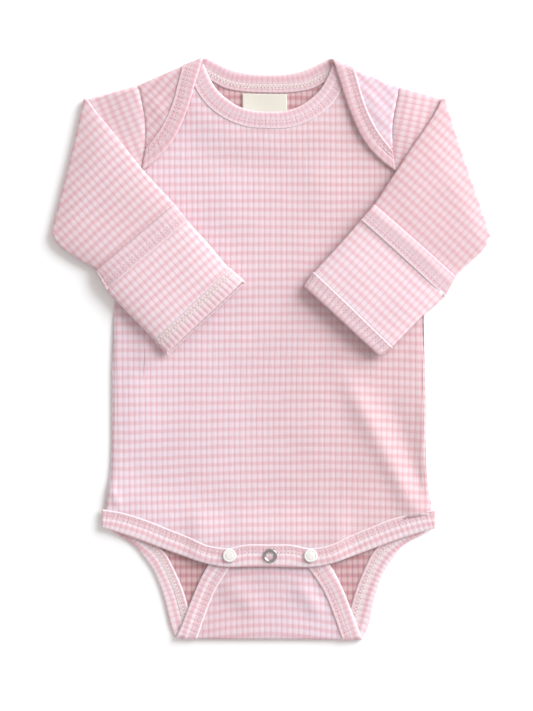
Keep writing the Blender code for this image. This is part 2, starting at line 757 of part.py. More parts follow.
def build_sleeve(side_name, side, rows):
    sleeve = Sleeve(side, rows)
    rings = [(sleeve.upper_ring(tau), "full" if tau else "flat", "") for tau in UPPER_RINGS]
    rings.append((sleeve.upper_ring(1.0), "flat", ""))
    for degrees, back_ribs in FOLD_RINGS:
        rings.append((sleeve.fold_ring(math.radians(degrees)), "", back_ribs))
    for t in FOREARM_RINGS:
        rings.append((sleeve.forearm_ring(t), "", "full" if t else "flat"))
    for t in COVERED_RINGS:
        rings.append((sleeve.forearm_ring(t), "", ""))
    tube(f"sleeve_{side_name}", sleeve, rings, WALL, PINK)
    build_mitten(side_name, sleeve)
    cuffs = []
    for t in CUFF_RINGS:
        drawn_in = CUFF_EDGE if t in (CUFF_START, CUFF_END) else 0.0
        ring = sleeve.forearm_ring(t, BAR + GAP - drawn_in, drop=LIFT - drawn_in)
        cuffs.append((ring, "", ""))
    tube(f"cuff_binding_{side_name}", sleeve, cuffs, CUFF_WALL, PALE_PINK)


def build_mitten(side_name, sleeve):
    """The flap that lies on the forearm, and the strip on its free edge."""
    over = 2 * TUBE_HALF + GAP
    bm = bmesh.new()
    rows_top, rows_low = [], []
    for t in MITTEN_RINGS:
        top, bottom, z_top, z_bottom = sleeve.section(t)
        length = (bottom - top).length
        inner = [(i * RIB_PITCH / 2, i % 2 == 0) for i in range(1, int(length / RIB_PITCH * 2))]
        inner = [stop for stop in inner if 1.2 < stop[0] < length - 1.2]
        crest = RIB_RISE if t not in (MITTEN_RINGS[0], MITTEN_RINGS[-1]) else 0.0
        places = [(MITTEN_INSET, False)] + inner + [(length - MITTEN_INSET, False)]
        row = []
        for distance, is_crest in places:
            v = distance / length
            point = lerp(top, bottom, v)
            z = lerp(z_top, z_bottom, v) + over + WALL + (crest if is_crest else 0.0)
            row.append((distance, bm.verts.new(sleeve.to_world(Vector((point.x, point.y, z))))))
        rows_top.append(row)
        row = []
        for i in range(MITTEN_CORNERS):
            inset = MITTEN_INSET / length
            v = lerp(inset, 1.0 - inset, i / (MITTEN_CORNERS - 1))
            point = lerp(top, bottom, v)
            z = lerp(z_top, z_bottom, v) + over
            row.append((v * length, bm.verts.new(sleeve.to_world(Vector((point.x, point.y, z))))))
        rows_low.append(row)
    for rows in (rows_top, rows_low):
        for a, b in zip(rows, rows[1:]):
            zip_rows(bm, a, b)
    for end in (0, -1):
        zip_rows(bm, rows_top[end], rows_low[end])
        upper = [row[end][1] for row in rows_top]
        lower = [row[end][1] for row in rows_low]
        for i in range(len(upper) - 1):
            bm.faces.new((upper[i], upper[i + 1], lower[i + 1], lower[i]))
    finish(f"mitten_{side_name}", bm, PINK)

    start, end = sleeve.section(BAND_START), sleeve.section(BAND_END)
    ends = [(start[k] + end[k]) / 2 for k in (0, 1)]
    heights = [(start[k] + end[k]) / 2 + over for k in (2, 3)]
    free = [lerp(start[0], start[1], i / 8) for i in range(9)]
    inner = [lerp(end[0], end[1], i / 8) for i in range(9)]
    axis = ends[1] - ends[0]

    def place_band(point, n):
        v = (point - ends[0]).dot(axis) / axis.length_squared
        z = lerp(heights[0], heights[1], v) + BAR / 2 + n
        return sleeve.to_world(Vector((point.x, point.y, z)))

    ribbon(f"mitten_binding_{side_name}", free, inner, place_band)


def build_label():
    thick = LABEL["thick"]
    bm = bmesh.new()
    bmesh.ops.create_cube(bm, size=1.0)
    size = (LABEL["right"] - LABEL["left"], LABEL["top"] - LABEL["bottom"], thick)
    bmesh.ops.scale(bm, vec=Vector(size), verts=bm.verts)
    bmesh.ops.bevel(
        bm, geom=bm.edges[:], offset=0.2, segments=1, profile=0.5, affect="EDGES", material=-1
    )
    middle = (
        (LABEL["right"] + LABEL["left"]) / 2,
        (LABEL["top"] + LABEL["bottom"]) / 2,
        FRONT_UNDER + thick / 2,
    )
    bmesh.ops.translate(bm, vec=Vector(middle), verts=bm.verts)
    finish("label", bm, CREAM)


def build_snap(name, x, profile, colour, metallic):
    """A snap turned from its profile, standing on the placket."""
    base = hem_under(x) + BAR + GAP
    bm = bmesh.new()
    verts = [bm.verts.new((radius, 0.0, base + height)) for radius, height in profile]
    edges = [bm.edges.new(pair) for pair in zip(verts, verts[1:])]
    bmesh.ops.spin(
        bm, geom=verts + edges, cent=(0, 0, 0), axis=(0, 0, 1), angle=2 * math.pi,
        steps=SNAP_SIDES, use_merge=True,
    )  # fmt: skip
    bmesh.ops.translate(bm, vec=Vector((x, SNAP_Y, 0.0)), verts=bm.verts)
    finish(name, bm, colour, roughness=0.35, metallic=metallic)


def centre_all():
    """Moves everything so that the origin is under the middle of the whole."""
    low, high = Vector((1e9, 1e9)), Vector((-1e9, -1e9))
    meshes = [thing.data for thing in bpy.data.objects]
    for mesh in meshes:
        for vert in mesh.vertices:
            low = Vector((min(low.x, vert.co.x), min(low.y, vert.co.y)))
            high = Vector((max(high.x, vert.co.x), max(high.y, vert.co.y)))
    middle = (low + high) / 2
    for mesh in meshes:
        for vert in mesh.vertices:
            vert.co.x -= middle.x
            vert.co.y -= middle.y
    print("moved by", -middle / MM)


def main():
    for thing in list(bpy.data.objects):
        bpy.data.objects.remove(thing, do_unlink=True)
    build_back()
    build_front()
    build_bindings()
    build_sleeve("left", -1.0, FOREARM_LEFT)
    build_sleeve("right", 1.0, FOREARM_RIGHT)
    build_label()
    build_snap("snap_left", SNAP_X[0], CAP_PROFILE, WHITE, 0.0)
    build_snap("snap_centre", SNAP_X[1], RING_PROFILE, STEEL, 1.0)
    build_snap("snap_right", SNAP_X[2], CAP_PROFILE, WHITE, 0.0)
    centre_all()


main()
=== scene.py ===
"""Baby bodysuit, laid flat with its sleeves folded over the chest: the dressed model.

Tables and sizes are millimetres in the garment's own drawing: +Y points to the neck, +Z up from
the surface it lies on, and +X to the right as it is seen from above. The body tables hold the
half at +X. CENTRE takes the drawing to the frame's origin, and MM takes it to metres.
"""

from __future__ import annotations

import logging
import math
from collections.abc import Callable, Sequence
from dataclasses import dataclass, replace
from enum import Enum

import bmesh
import bpy
import numpy as np
from mathutils import Matrix, Vector

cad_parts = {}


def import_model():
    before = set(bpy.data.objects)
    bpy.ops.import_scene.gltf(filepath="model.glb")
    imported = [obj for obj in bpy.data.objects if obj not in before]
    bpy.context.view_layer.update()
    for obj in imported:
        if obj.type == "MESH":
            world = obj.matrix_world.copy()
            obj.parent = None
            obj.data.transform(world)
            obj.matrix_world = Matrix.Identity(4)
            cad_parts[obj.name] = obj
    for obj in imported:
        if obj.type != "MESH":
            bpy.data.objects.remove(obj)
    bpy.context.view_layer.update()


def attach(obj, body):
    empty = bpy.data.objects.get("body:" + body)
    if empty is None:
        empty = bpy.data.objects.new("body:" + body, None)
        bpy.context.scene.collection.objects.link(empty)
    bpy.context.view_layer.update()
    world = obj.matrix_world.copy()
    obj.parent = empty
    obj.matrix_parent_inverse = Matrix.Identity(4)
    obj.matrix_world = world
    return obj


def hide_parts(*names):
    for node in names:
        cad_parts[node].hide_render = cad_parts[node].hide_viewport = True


log = logging.getLogger("bodysuit")

Rows = Sequence[Sequence[float]]
Array = np.ndarray
Place = Callable[[Array, Array], Array]
Colour = tuple[float, float, float]
Material = bpy.types.Material
Piece = bpy.types.Object
BMesh = bmesh.types.BMesh

MM = 0.001
CENTRE = (-2.0143, -0.5656)

# Cloth
WALL = 1.0
BAR = 2.0
LIFT = (BAR - WALL) / 2
GAP = 0.3
RIB_PITCH = 3.8
RIB_RISE = 0.15
CELLS_A_RIB = 6
CELL = RIB_PITCH / CELLS_A_RIB
LEAST_CELL = 0.15 * CELL
SEW_REACH, SLIVER = 0.02, 0.001  # nets are sewn within this, and shorter edges are taken out
STRIPE_PITCH = 5.9
TUCK = 3.0  # a panel's edge runs this far into its binding
SEWN_ROWS = (3.0, 5.6)  # from a binding's inner edge
LADDER_ROWS = (1.3, 4.4)
STITCH_PITCH = 2.5
BAND_SHIFT = 2.5  # of the bands across a binding

# Heights of the layers
BACK_MID = WALL / 2
FRONT_UNDER = WALL + GAP
FLAP_MID_AT_FOLD = BACK_MID + BAR + GAP
FLAP_MID = FRONT_UNDER + WALL / 2
LAP_MID = 5.2
LAP_MID_AT_TIP = 3.4
FRONT_NECK_UNDER = 2.4
HEM_UNDER = BAR + GAP
PLACKET_UNDER = 3.6
RISE_START, RISE_LENGTH = 4.0, 26.0  # the front comes down this far from its bindings
LAP_RISE_FROM, LAP_RISE_LENGTH = 124.0, 40.0  # along y
PLACKET_HALF, PLACKET_EASE = 46.0, 14.0  # along x
FLAP_SETTLE = 26.0  # the flap comes down this far from its fold
SEAM_DIP, SEAM_DIP_WIDTH = 0.9, 1.3  # of a lap at the armhole's seam
SIDE_DROP, SIDE_DROP_WIDTH = 0.28, 4.0  # of the front's sides
SIDE_ROUND, SIDE_ROUND_WIDTH = 0.45, 1.6

# Body tables, (x, y)
SHOULDER_PEAK = (42.0, 198.4)
SHOULDER_END = (88.4, 179.2)
CROTCH_Y = -197.0
ARMHOLE = (
    (88.0, 177.0), (86.4, 168.0), (84.4, 157.0), (83.9, 148.5), (84.6, 138.0),
    (86.6, 126.5), (88.8, 118.0), (92.8, 108.3), (98.6, 95.0), (104.0, 85.0),
)  # fmt: skip
LAP_ARMHOLE, FRONT_ARMHOLE, BACK_ARMHOLE = ARMHOLE[:5], ARMHOLE[3:], ARMHOLE[6:]
SIDE = ((104.0, 85.0), (104.4, 20.0), (105.9, -40.0), (107.0, -75.0), (109.0, -95.0))
FRONT_SIDE = (*SIDE, (111.0, -107.6))
BACK_SIDE = (*SIDE, (109.2, -106.0))
LEAST_COLUMN = 0.4  # where two edges meet
NECK_FREE_BACK = ((0.0, 186.8), (10.0, 187.1), (21.0, 188.8), (30.0, 191.8), (36.0, 194.8))
NECK_FREE_LAP = (
    (46.6, 189.4), (49.2, 181.6), (51.9, 172.4), (55.3, 162.2), (60.0, 151.0),
    (66.0, 140.5), (72.6, 132.6), (79.0, 126.8), (87.2, 120.8),
)  # fmt: skip
NECK_INNER_BACK = ((0.0, 174.4), (12.0, 174.5), (22.0, 175.4), (30.2, 177.3), (38.7, 181.6))
NECK_INNER_LAP = (
    (61.6, 180.5), (64.5, 170.0), (68.5, 159.5), (74.0, 149.3), (80.0, 141.0), (84.4, 135.6),
)  # fmt: skip
FRONT_NECK_FREE = (
    (0.0, 161.3), (10.6, 162.0), (20.8, 165.0), (29.6, 170.8), (35.5, 176.6), (39.8, 183.5),
    (44.2, 193.4),
)  # fmt: skip
FRONT_NECK_INNER = (
    (0.0, 149.4), (12.0, 149.9), (22.0, 152.4), (31.5, 156.8), (40.0, 163.0), (46.5, 170.5),
    (50.5, 177.5), (54.0, 186.2),
)  # fmt: skip
HEM_FREE = (
    (0.0, -147.0), (27.5, -147.2), (41.4, -145.2), (54.8, -141.3), (70.5, -136.0),
    (90.0, -129.2), (105.5, -124.0), (113.4, -121.8),
)  # fmt: skip
HEM_INNER = (
    (0.0, -131.6), (15.0, -131.6), (28.2, -134.0), (41.8, -132.2), (55.0, -126.6),
    (69.0, -121.2), (82.5, -115.9), (99.5, -110.9), (113.4, -108.9),
)  # fmt: skip
LEG_FREE = (
    (111.5, -119.5), (105.5, -125.8), (98.6, -129.3), (91.5, -134.2), (85.3, -142.0),
    (79.5, -150.5), (74.9, -161.0), (71.5, -171.5), (68.9, -182.0), (66.4, -190.5),
)  # fmt: skip
LEG_INNER = (
    (106.5, -107.5), (98.0, -116.5), (89.0, -122.8), (80.0, -129.6), (71.7, -137.6),
    (66.3, -147.0), (61.6, -157.0), (58.2, -165.5), (55.4, -175.0), (53.0, -184.0),
    (51.3, -190.5),
)  # fmt: skip
FLAP_FREE = (
    (60.2, -188.5), (56.8, -179.5), (53.6, -171.0), (50.0, -162.0), (46.0, -153.2),
    (41.9, -145.9), (35.5, -135.0),
)  # fmt: skip
FLAP_INNER = (
    (46.6, -188.5), (43.4, -179.5), (40.6, -172.0), (36.3, -162.2), (31.2, -154.0),
    (26.8, -147.5), (19.5, -135.0),
)  # fmt: skip

# Forearm rows from the fold to the cuff's end: upper edge x, y, lower edge x, y, and the height
# of the underside at either edge.
FOREARM_LEFT = (
    (-126.4, 170.7, -147.7, 78.0, 2.9, 2.9),
    (-105.2, 146.0, -140.2, 69.5, 4.8, 2.9),
    (-85.2, 121.0, -128.7, 61.5, 5.4, 2.8),
    (-64.5, 98.3, -116.8, 54.1, 5.2, 2.8),
    (-55.6, 86.7, -109.4, 40.5, 5.0, 3.3),
    (-41.2, 71.0, -97.8, 28.2, 4.8, 3.9),
    (-27.1, 54.5, -76.7, 6.5, 4.6, 4.5),
    (-17.6, 45.9, -68.6, -2.4, 4.6, 4.6),
)
FOREARM_RIGHT = (
    (120.5, 171.0, 151.8, 77.0, 2.9, 2.9),
    (102.5, 144.7, 145.3, 67.5, 4.8, 2.9),
    (86.5, 120.5, 135.8, 59.5, 5.4, 2.8),
    (71.5, 98.3, 126.6, 50.0, 5.2, 2.8),
    (62.0, 87.4, 118.4, 35.7, 5.0, 3.3),
    (46.8, 70.5, 104.8, 24.0, 4.8, 3.9),
    (30.0, 52.0, 83.1, 1.7, 4.6, 4.5),
    (23.2, 41.8, 74.2, -4.4, 4.6, 4.6),
)
BAND_START, BAND_END, CUFF_START, CUFF_END = 3.0, 4.0, 6.0, 7.0  # forearm rows
FOREARM_PUFF = (  # (row, height)
    (0.0, 0.0), (0.8, 1.7), (2.4, 2.1), (3.2, 1.9), (4.2, 2.0), (5.2, 2.5), (6.2, 2.3), (7.0, 2.1),
)  # fmt: skip
UPPER_ARM_PUFF = 0.4
TUBE_HALF = WALL + GAP / 2
SLEEVE_FOLD_RADIUS = 1.45
SLEEVE_TOP = (88.5, 179.4)

DRIFT_SIDEWAYS = ((0.7, 67.0, 43.0, 0.0), (0.2, -29.0, 17.0, 1.0))
DRIFT_LENGTHWAYS = ((0.5, 37.0, 71.0, 0.6), (0.16, 14.5, 37.0, 0.0))


# ---------------------------------------------------------------- curves and folds


def smooth(t: Array | float) -> Array:
    """A share eased at both ends, kept between 0 and 1."""
    t = np.clip(t, 0.0, 1.0)
    return t * t * (3.0 - 2.0 * t)


def falling(t: Array | float) -> Array:
    """1 up to 0, eased down to 0 at 1."""
    return 1.0 - smooth(t)


def lerp(a: Array | float, b: Array | float, t: Array | float) -> Array:
    """The value at the share t of the way from a to b."""
    return a + (b - a) * t


def catmull_rom(rows: Rows, per_row: int = 16) -> Array:
    """A smooth curve through the rows.

    Args:
        rows: Points of any number of columns.
        per_row: How many pieces lie between two rows.

    Returns:
        The curve's points, one a row.
    """
    p = np.array(rows, float)
    p = np.vstack([2 * p[0] - p[1], p, 2 * p[-1] - p[-2]])
    t = (np.arange(per_row) / per_row)[None, :, None]
    p0, p1, p2, p3 = (p[k : len(p) - 3 + k, None, :] for k in range(4))
    curve = p1 + 0.5 * (
        (p2 - p0) * t + (2 * p0 - 5 * p1 + 4 * p2 - p3) * t**2 + (3 * p1 - p0 - 3 * p2 + p3) * t**3
    )
    return np.vstack([curve.reshape(-1, p.shape[1]), p[-2]])


class Path:
    """A line in the drawing, read by the distance along it."""

    FINE = 0.5  # step of the search for the nearest place
    BLOCK = 4000  # points searched for at once

    def __init__(self, points: Array) -> None:
        """Keeps the points and the distance to each."""
        self.points = points
        steps = np.linalg.norm(np.diff(points, axis=0), axis=1)
        self.along = np.concatenate([[0.0], np.cumsum(steps)])
        self.length = float(self.along[-1])

    @classmethod
    def through(cls, rows: Rows) -> Path:
        """The smooth path through a table's rows."""
        return cls(catmull_rom(rows))

    def at(self, distance: Array) -> Array:
        """The points at these distances along the path."""
        return np.stack(
            [np.interp(distance, self.along, self.points[:, k]) for k in (0, 1)], axis=-1
        )

    def shifted(self, distance: float) -> Path:
        """The path moved to its left."""
        heading = np.gradient(self.points, axis=0)
        heading /= np.linalg.norm(heading, axis=1)[:, None]
        left = np.stack([-heading[:, 1], heading[:, 0]], axis=1)
        return Path(self.points + left * distance)

    def both_halves(self) -> Path:
        """The path with its mirror image before it."""
        mirror = self.points[:0:-1] * (-1.0, 1.0)
        return Path(np.vstack([mirror, self.points]))

    def mirrored(self) -> Path:
        """The path on the other side of the body."""
        return Path(self.points * (-1.0, 1.0))

    def nearest(self, points: Array) -> tuple[Array, Array]:
        """Where the path comes nearest to each point.

        Returns:
            The distance along the path, and the distance from the point.
        """
        fine = Path(self.at(np.arange(0.0, self.length, self.FINE)))
        along, away = [], []
        for part in np.array_split(points, max(1, len(points) // self.BLOCK)):
            gaps = np.linalg.norm(part[:, None, :] - fine.points[None], axis=2)
            best = gaps.argmin(axis=1)
            along.append(fine.along[best])
            away.append(gaps[np.arange(len(part)), best])
        return np.concatenate(along) * self.length / max(fine.length, 1e-6), np.concatenate(away)

    def height_at(self, x: Array) -> Array:
        """The path's y at each x, where its x only grows."""
        order = np.argsort(self.points[:, 0], kind="stable")
        return np.interp(x, self.points[order, 0], self.points[order, 1])


class Fold:
    """A straight fold: cloth beyond its line goes round a half cylinder and lies on top."""

    def __init__(
        self, edge: Rows, outward: Rows, half_wall: float, lower_mid: float, upper_mid: float
    ) -> None:
        """Works out the fold's line from the edge that it shows."""
        self.outward = np.array(outward, float) / np.linalg.norm(outward)
        self.radius = (upper_mid - lower_mid) / 2
        self.start = np.array(edge, float) - self.outward * (self.radius + half_wall)
        self.length = math.pi * self.radius
        self.lower_mid = lower_mid

    def beyond(self, points: Array) -> Array:
        """How far past the fold's line each point of the pattern is."""
        return (points - self.start) @ self.outward

    def unfold(self, laid: Array) -> Array:
        """The pattern's points that come to lie at these places of the upper layer."""
        inside = -self.beyond(laid)
        return laid + self.outward * (2 * inside + self.length)[:, None]

    def place(self, points: Array, n: Array) -> tuple[Array, Array]:
        """Where points beyond the line lie, as their places and heights."""
        distance = self.beyond(points)
        foot = points - distance[:, None] * self.outward
        angle = np.clip(distance, 0.0, self.length) / self.radius
        reach = np.where(
            distance >= self.length, self.length - distance, (self.radius - n) * np.sin(angle)
        )
        height = self.lower_mid + self.radius - (self.radius - n) * np.cos(angle)
        return foot + reach[:, None] * self.outward, height

    def line_at(self, x: Array, share: float) -> Array:
        """The y at each x of the line a share of the way round the fold."""
        base = self.start + self.outward * (self.length * share)
        return base[1] - (x - base[0]) * self.outward[0] / self.outward[1]


SHOULDER = Fold(
    SHOULDER_PEAK,
    (SHOULDER_PEAK[1] - SHOULDER_END[1], SHOULDER_END[0] - SHOULDER_PEAK[0]),
    WALL / 2, BACK_MID, LAP_MID,
)  # fmt: skip
CROTCH = Fold((0.0, CROTCH_Y), (0.0, -1.0), WALL, BACK_MID, FLAP_MID_AT_FOLD)


def over_fold(lying: Rows, folded: Rows, fold: Fold) -> Path:
    """The pattern's line of an edge that goes on over a fold, from tables of it as it lies."""
    return Path.through(np.vstack([lying, fold.unfold(np.array(folded))]))


def rib(across: Array) -> Array:
    """How high the knit stands at a distance across its ribs, from 0 in a valley to 1."""
    phase = np.abs((across / RIB_PITCH) % 1.0 - 0.5) * 2.0
    return 1.0 - phase**3


@dataclass(frozen=True)
class Crease:
    """A soft ridge or trough in laid cloth, along a line from start to end."""

    start: tuple[float, float]
    end: tuple[float, float]
    width: float
    height: float
    end_slope: float = 2.5
    end_share: float = 0.25

    def lift(self, points: Array) -> Array:
        """How far it lifts the cloth at each point."""
        a, b = np.array(self.start), np.array(self.end)
        axis = b - a
        length = np.linalg.norm(axis)
        axis = axis / length
        rel = points - a
        t = rel @ axis / length
        off = rel @ np.array((-axis[1], axis[0]))
        fade = smooth(np.minimum(t, 1.0 - t) * self.end_slope + self.end_share)
        return self.height * fade * np.exp(-((off / self.width) ** 2))


def lifts(creases: Sequence[Crease], points: Array) -> Array:
    """What all the creases together do to the height."""
    total = np.zeros(len(points))
    for crease in creases:
        total += crease.lift(points)
    return total


def waves(points: Array, table: Rows) -> Array:
    """Waves added up at each point, from rows of size, lengths along x and y, and phase."""
    x, y = points[:, 0], points[:, 1]
    return sum(size * np.sin(x / across + y / up + phase) for size, across, up, phase in table)


def drift(points: Array) -> Array:
    """The small wander of cloth that was laid by hand."""
    return np.stack([waves(points, DRIFT_SIDEWAYS), waves(points, DRIFT_LENGTHWAYS)], axis=1)


def to_frame(points: Array, anchor: tuple[float, float] | None = None) -> Array:
    """Drawing points in millimetres as frame points in metres.

    Args:
        points: The points, as rows of x, y and z.
        anchor: For a stiff piece, the place whose drift all of it takes.

    Returns:
        The points in the frame.
    """
    moved = drift(points[:, :2] if anchor is None else np.array([anchor], float))
    flat = points[:, :2] + moved + np.array(CENTRE)
    return np.column_stack([flat, points[:, 2]]) * MM


# ---------------------------------------------------------------- laying the cloth


def lap_mid(y: Array) -> Array:
    """The height of a lap's middle."""
    return lerp(LAP_MID_AT_TIP, LAP_MID, smooth((y - LAP_RISE_FROM) / LAP_RISE_LENGTH))


def hem_under(x: Array) -> Array:
    """The underside of the front's hem binding, which rises over the flap's bindings."""
    return lerp(PLACKET_UNDER, HEM_UNDER, smooth((np.abs(x) - PLACKET_HALF) / PLACKET_EASE))


def on_one_half(points: Array) -> Array:
    """Flat points, with those of the other half mirrored over."""
    return np.column_stack([np.abs(points[:, 0]), points[:, 1]])


def stacked(flat: Array, height: Array) -> Array:
    """Places and heights as one array of points."""
    return np.column_stack([flat, height])


def lay_back(points: Array, n: Array) -> Array:
    """Lays the back panel's pattern: n runs from its outer side to its inner one."""
    side = np.where(points[:, 0] >= 0, 1.0, -1.0)
    half = on_one_half(points)
    at_shoulder, at_crotch = SHOULDER.beyond(half) > 0, CROTCH.beyond(half) > 0
    flat, z = half.copy(), BACK_MID + n
    laid, high = SHOULDER.place(half, n)
    on_lap = SHOULDER.beyond(half) > SHOULDER.length
    dip = SEAM_DIP * falling(ARMHOLE_LINE.nearest(laid)[1] / SEAM_DIP_WIDTH)
    high = high + np.where(on_lap, lap_mid(laid[:, 1]) - LAP_MID - dip, 0.0)
    flat[at_shoulder], z[at_shoulder] = laid[at_shoulder], high[at_shoulder]
    laid, high = CROTCH.place(half, n)
    settle = smooth((laid[:, 1] - CROTCH.start[1]) / FLAP_SETTLE)
    on_flap = CROTCH.beyond(half) > CROTCH.length
    high = high + np.where(on_flap, (FLAP_MID - FLAP_MID_AT_FOLD) * settle, 0.0)
    flat[at_crotch], z[at_crotch] = laid[at_crotch], high[at_crotch]
    flat[:, 0] *= side
    return stacked(flat, z)


def lay_back_binding(points: Array, n: Array) -> Array:
    """Lays a binding of the back panel, which is thicker than the panel."""
    return lay_back(points, n) + (0.0, 0.0, LIFT)


ARMHOLE_LINE = Path.through(ARMHOLE).shifted(GAP)
NECK_LINE = Path.through(FRONT_NECK_INNER).both_halves()
HEM_LINE = Path.through(HEM_INNER).both_halves()


def lay_front(points: Array, n: Array) -> Array:
    """Lays the front panel, which comes down from its bindings and rounds over at its sides."""
    half = on_one_half(points)
    near_neck = falling((NECK_LINE.nearest(half)[1] - RISE_START) / RISE_LENGTH)
    near_hem = falling((HEM_LINE.nearest(half)[1] - RISE_START) / RISE_LENGTH)
    under = FRONT_UNDER + (FRONT_NECK_UNDER + LIFT - FRONT_UNDER) * near_neck
    under = under + (hem_under(points[:, 0]) + LIFT - FRONT_UNDER) * near_hem
    from_side = SIDE_LINE.nearest(half)[1]
    under = under - SIDE_DROP * falling(from_side / SIDE_DROP_WIDTH)
    round_off = SIDE_ROUND * falling(from_side / SIDE_ROUND_WIDTH) * (n > 0)
    return stacked(points, under + WALL / 2 + n - round_off)


def lay_hem(points: Array, n: Array) -> Array:
    """Lays the front's hem binding."""
    return stacked(points, hem_under(points[:, 0]) + BAR / 2 + n)


def lay_front_neck(points: Array, n: Array) -> Array:
    """Lays the front's neck binding."""
    return stacked(points, FRONT_NECK_UNDER + BAR / 2 + n)


SIDE_LINE = Path(np.vstack([catmull_rom(FRONT_ARMHOLE), catmull_rom(FRONT_SIDE)[1:]]))


@dataclass(frozen=True)
class ClothGrid:
    """A rectangular net of cloth: where each crossing lies, and where it is in the pattern."""

    laid: Array  # rows, columns, 3
    pattern: Array  # rows, columns, 2
    anchor: tuple[float, float] | None = None
    slot: int = 0

    def mesh(self) -> bpy.types.Mesh:
        """The net as a mesh in the frame, with its pattern as the UV map, in millimetres."""
        rows, columns = self.laid.shape[:2]
        bm = bmesh.new()
        bmesh.ops.create_grid(bm, x_segments=columns - 1, y_segments=rows - 1, size=0.5)
        mesh = bpy.data.meshes.new("net")
        bm.to_mesh(mesh)
        bm.free()
        flat = np.empty(len(mesh.vertices) * 3)
        mesh.vertices.foreach_get("co", flat)
        flat = flat.reshape(-1, 3) + 0.5
        place = np.rint(flat[:, 1] * (rows - 1)) * columns + np.rint(flat[:, 0] * (columns - 1))
        place = place.astype(int)
        laid = to_frame(self.laid.reshape(-1, 3), self.anchor)[place]
        mesh.vertices.foreach_set("co", laid.ravel())
        mesh.polygons.foreach_set("material_index", [self.slot] * len(mesh.polygons))
        corners = np.empty(len(mesh.loops), dtype=np.int32)
        mesh.loops.foreach_get("vertex_index", corners)
        layer = mesh.uv_layers.new(name="Cloth")
        layer.uv.foreach_set("vector", self.pattern.reshape(-1, 2)[place][corners].ravel())
        return mesh


def joined(grids: Sequence[ClothGrid]) -> BMesh:
    """One mesh of several nets, sewn where they meet."""
    bm = bmesh.new()
    for grid in grids:
        mesh = grid.mesh()
        bm.from_mesh(mesh)
        bpy.data.meshes.remove(mesh)
    bmesh.ops.remove_doubles(bm, verts=bm.verts, dist=SEW_REACH * MM)
    bmesh.ops.dissolve_degenerate(bm, edges=bm.edges, dist=SLIVER * MM)
    return bm


class Skin(Enum):
    """What is done to a skin once its nets are joined."""

    TUBE = "faces turned outward"
    STRIP = "open ends filled, and faces turned outward"
    SHEET = "faces turned upward"

    def turn(self, bm: BMesh) -> None:
        """Closes the skin and turns its faces."""
        ends = [edge for edge in bm.edges if edge.is_boundary] if self is Skin.STRIP else ()
        if ends:
            bmesh.ops.holes_fill(bm, edges=ends, sides=0)
        bmesh.ops.recalc_face_normals(bm, faces=bm.faces)
        if self is Skin.SHEET and sum(face.normal.z for face in bm.faces) < 0:
            bmesh.ops.reverse_faces(bm, faces=bm.faces)


def make_object(name: str, bm: BMesh, materials: Sequence[Material]) -> Piece:
    """An object of the finished mesh, smooth and in the scene."""
    mesh = bpy.data.meshes.new(name)
    bm.to_mesh(mesh)
    bm.free()
    mesh.shade_smooth()
    for material in materials:
        mesh.materials.append(material)
    piece = bpy.data.objects.new(name, mesh)
    bpy.context.scene.collection.objects.link(piece)
    return piece


def give_wall(piece: Piece, thick: float) -> None:
    """Gives a surface its thickness, away from the side that it shows."""
    wall = piece.modifiers.new("wall", "SOLIDIFY")
    wall.thickness = thick * MM
    wall.offset = -1.0
    wall.use_rim = True
    wall.use_even_offset = False
    if len(piece.data.materials) > 1:
        wall.material_offset = wall.material_offset_rim = -1


@dataclass(frozen=True)
class Stand:
    """A dressed piece, and the solid of the body that it takes the place of."""

    name: str
    node: str
    slot: str
    materials: tuple[Material, ...]
    wall: float = 0.0
    skin: Skin | None = None

    def build(self, *nets: ClothGrid) -> Piece:
        """The piece, made of its nets."""
        bm = joined(nets)
        if self.skin:
            self.skin.turn(bm)
        piece = make_object(self.name, bm, self.materials)
        if self.wall:
            give_wall(piece, self.wall)
        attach(piece, "root")
        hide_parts(self.node)
        return piece


def rib_columns(low: float, high: float) -> Array:
    """Places across the ribs, a cell apart and on the ribs' crests and valleys, with both ends."""
    inner = np.arange(math.ceil(low / CELL), math.floor(high / CELL) + 1) * CELL
    inner = inner[(inner > low + LEAST_CELL) & (inner < high - LEAST_CELL)]
    return np.concatenate([[low], inner, [high]])


def ruled(low: Array, high: Array, rows: int) -> Array:
    """A net between two lines of as many points, as rows, columns, 2."""
    t = np.linspace(0.0, 1.0, rows + 1)[:, None, None]
    return low[None] + (high - low)[None] * t


def line_of(x: Array, y: Array | float) -> Array:
    """Points at each x, at a height or heights."""
    return np.column_stack([x, np.broadcast_to(y, x.shape)])


def both_sides(x: Array, *heights: Array) -> list[Array]:
    """Lines over the half at +X, each with its mirror image before it."""
    across = np.concatenate([-x[:0:-1], x])
    return [line_of(across, np.concatenate([y[:0:-1], y])) for y in heights]


def net(
    pattern: Array,
    place: Place,
    wall_height: Callable[[Array], Array],
    ease: Callable[[Array], Array] | None = None,
    creases: Sequence[Crease] = (),
    bow: Callable[[Array], Array] | None = None,
    slot: int = 0,
) -> ClothGrid:
    """Lays a net of pattern points.

    Args:
        pattern: The points, as rows, columns, 2.
        place: Lays flat points at heights in the wall.
        wall_height: The height in the wall of each flat point.
        ease: Moves the pattern a little before it is laid.
        creases: Lift the cloth once it is laid.
        bow: How far the bands run off at each flat point.
        slot: The material slot of its faces.

    Returns:
        The laid net.
    """
    rows, columns = pattern.shape[:2]
    flat = pattern.reshape(-1, 2)
    laid = place(ease(flat) if ease else flat, wall_height(flat))
    laid[:, 2] += lifts(creases, laid[:, :2])
    if bow:
        pattern = (flat + np.column_stack([np.zeros(len(flat)), bow(flat)])).reshape(pattern.shape)
    return ClothGrid(laid.reshape(rows, columns, 3), pattern, slot=slot)


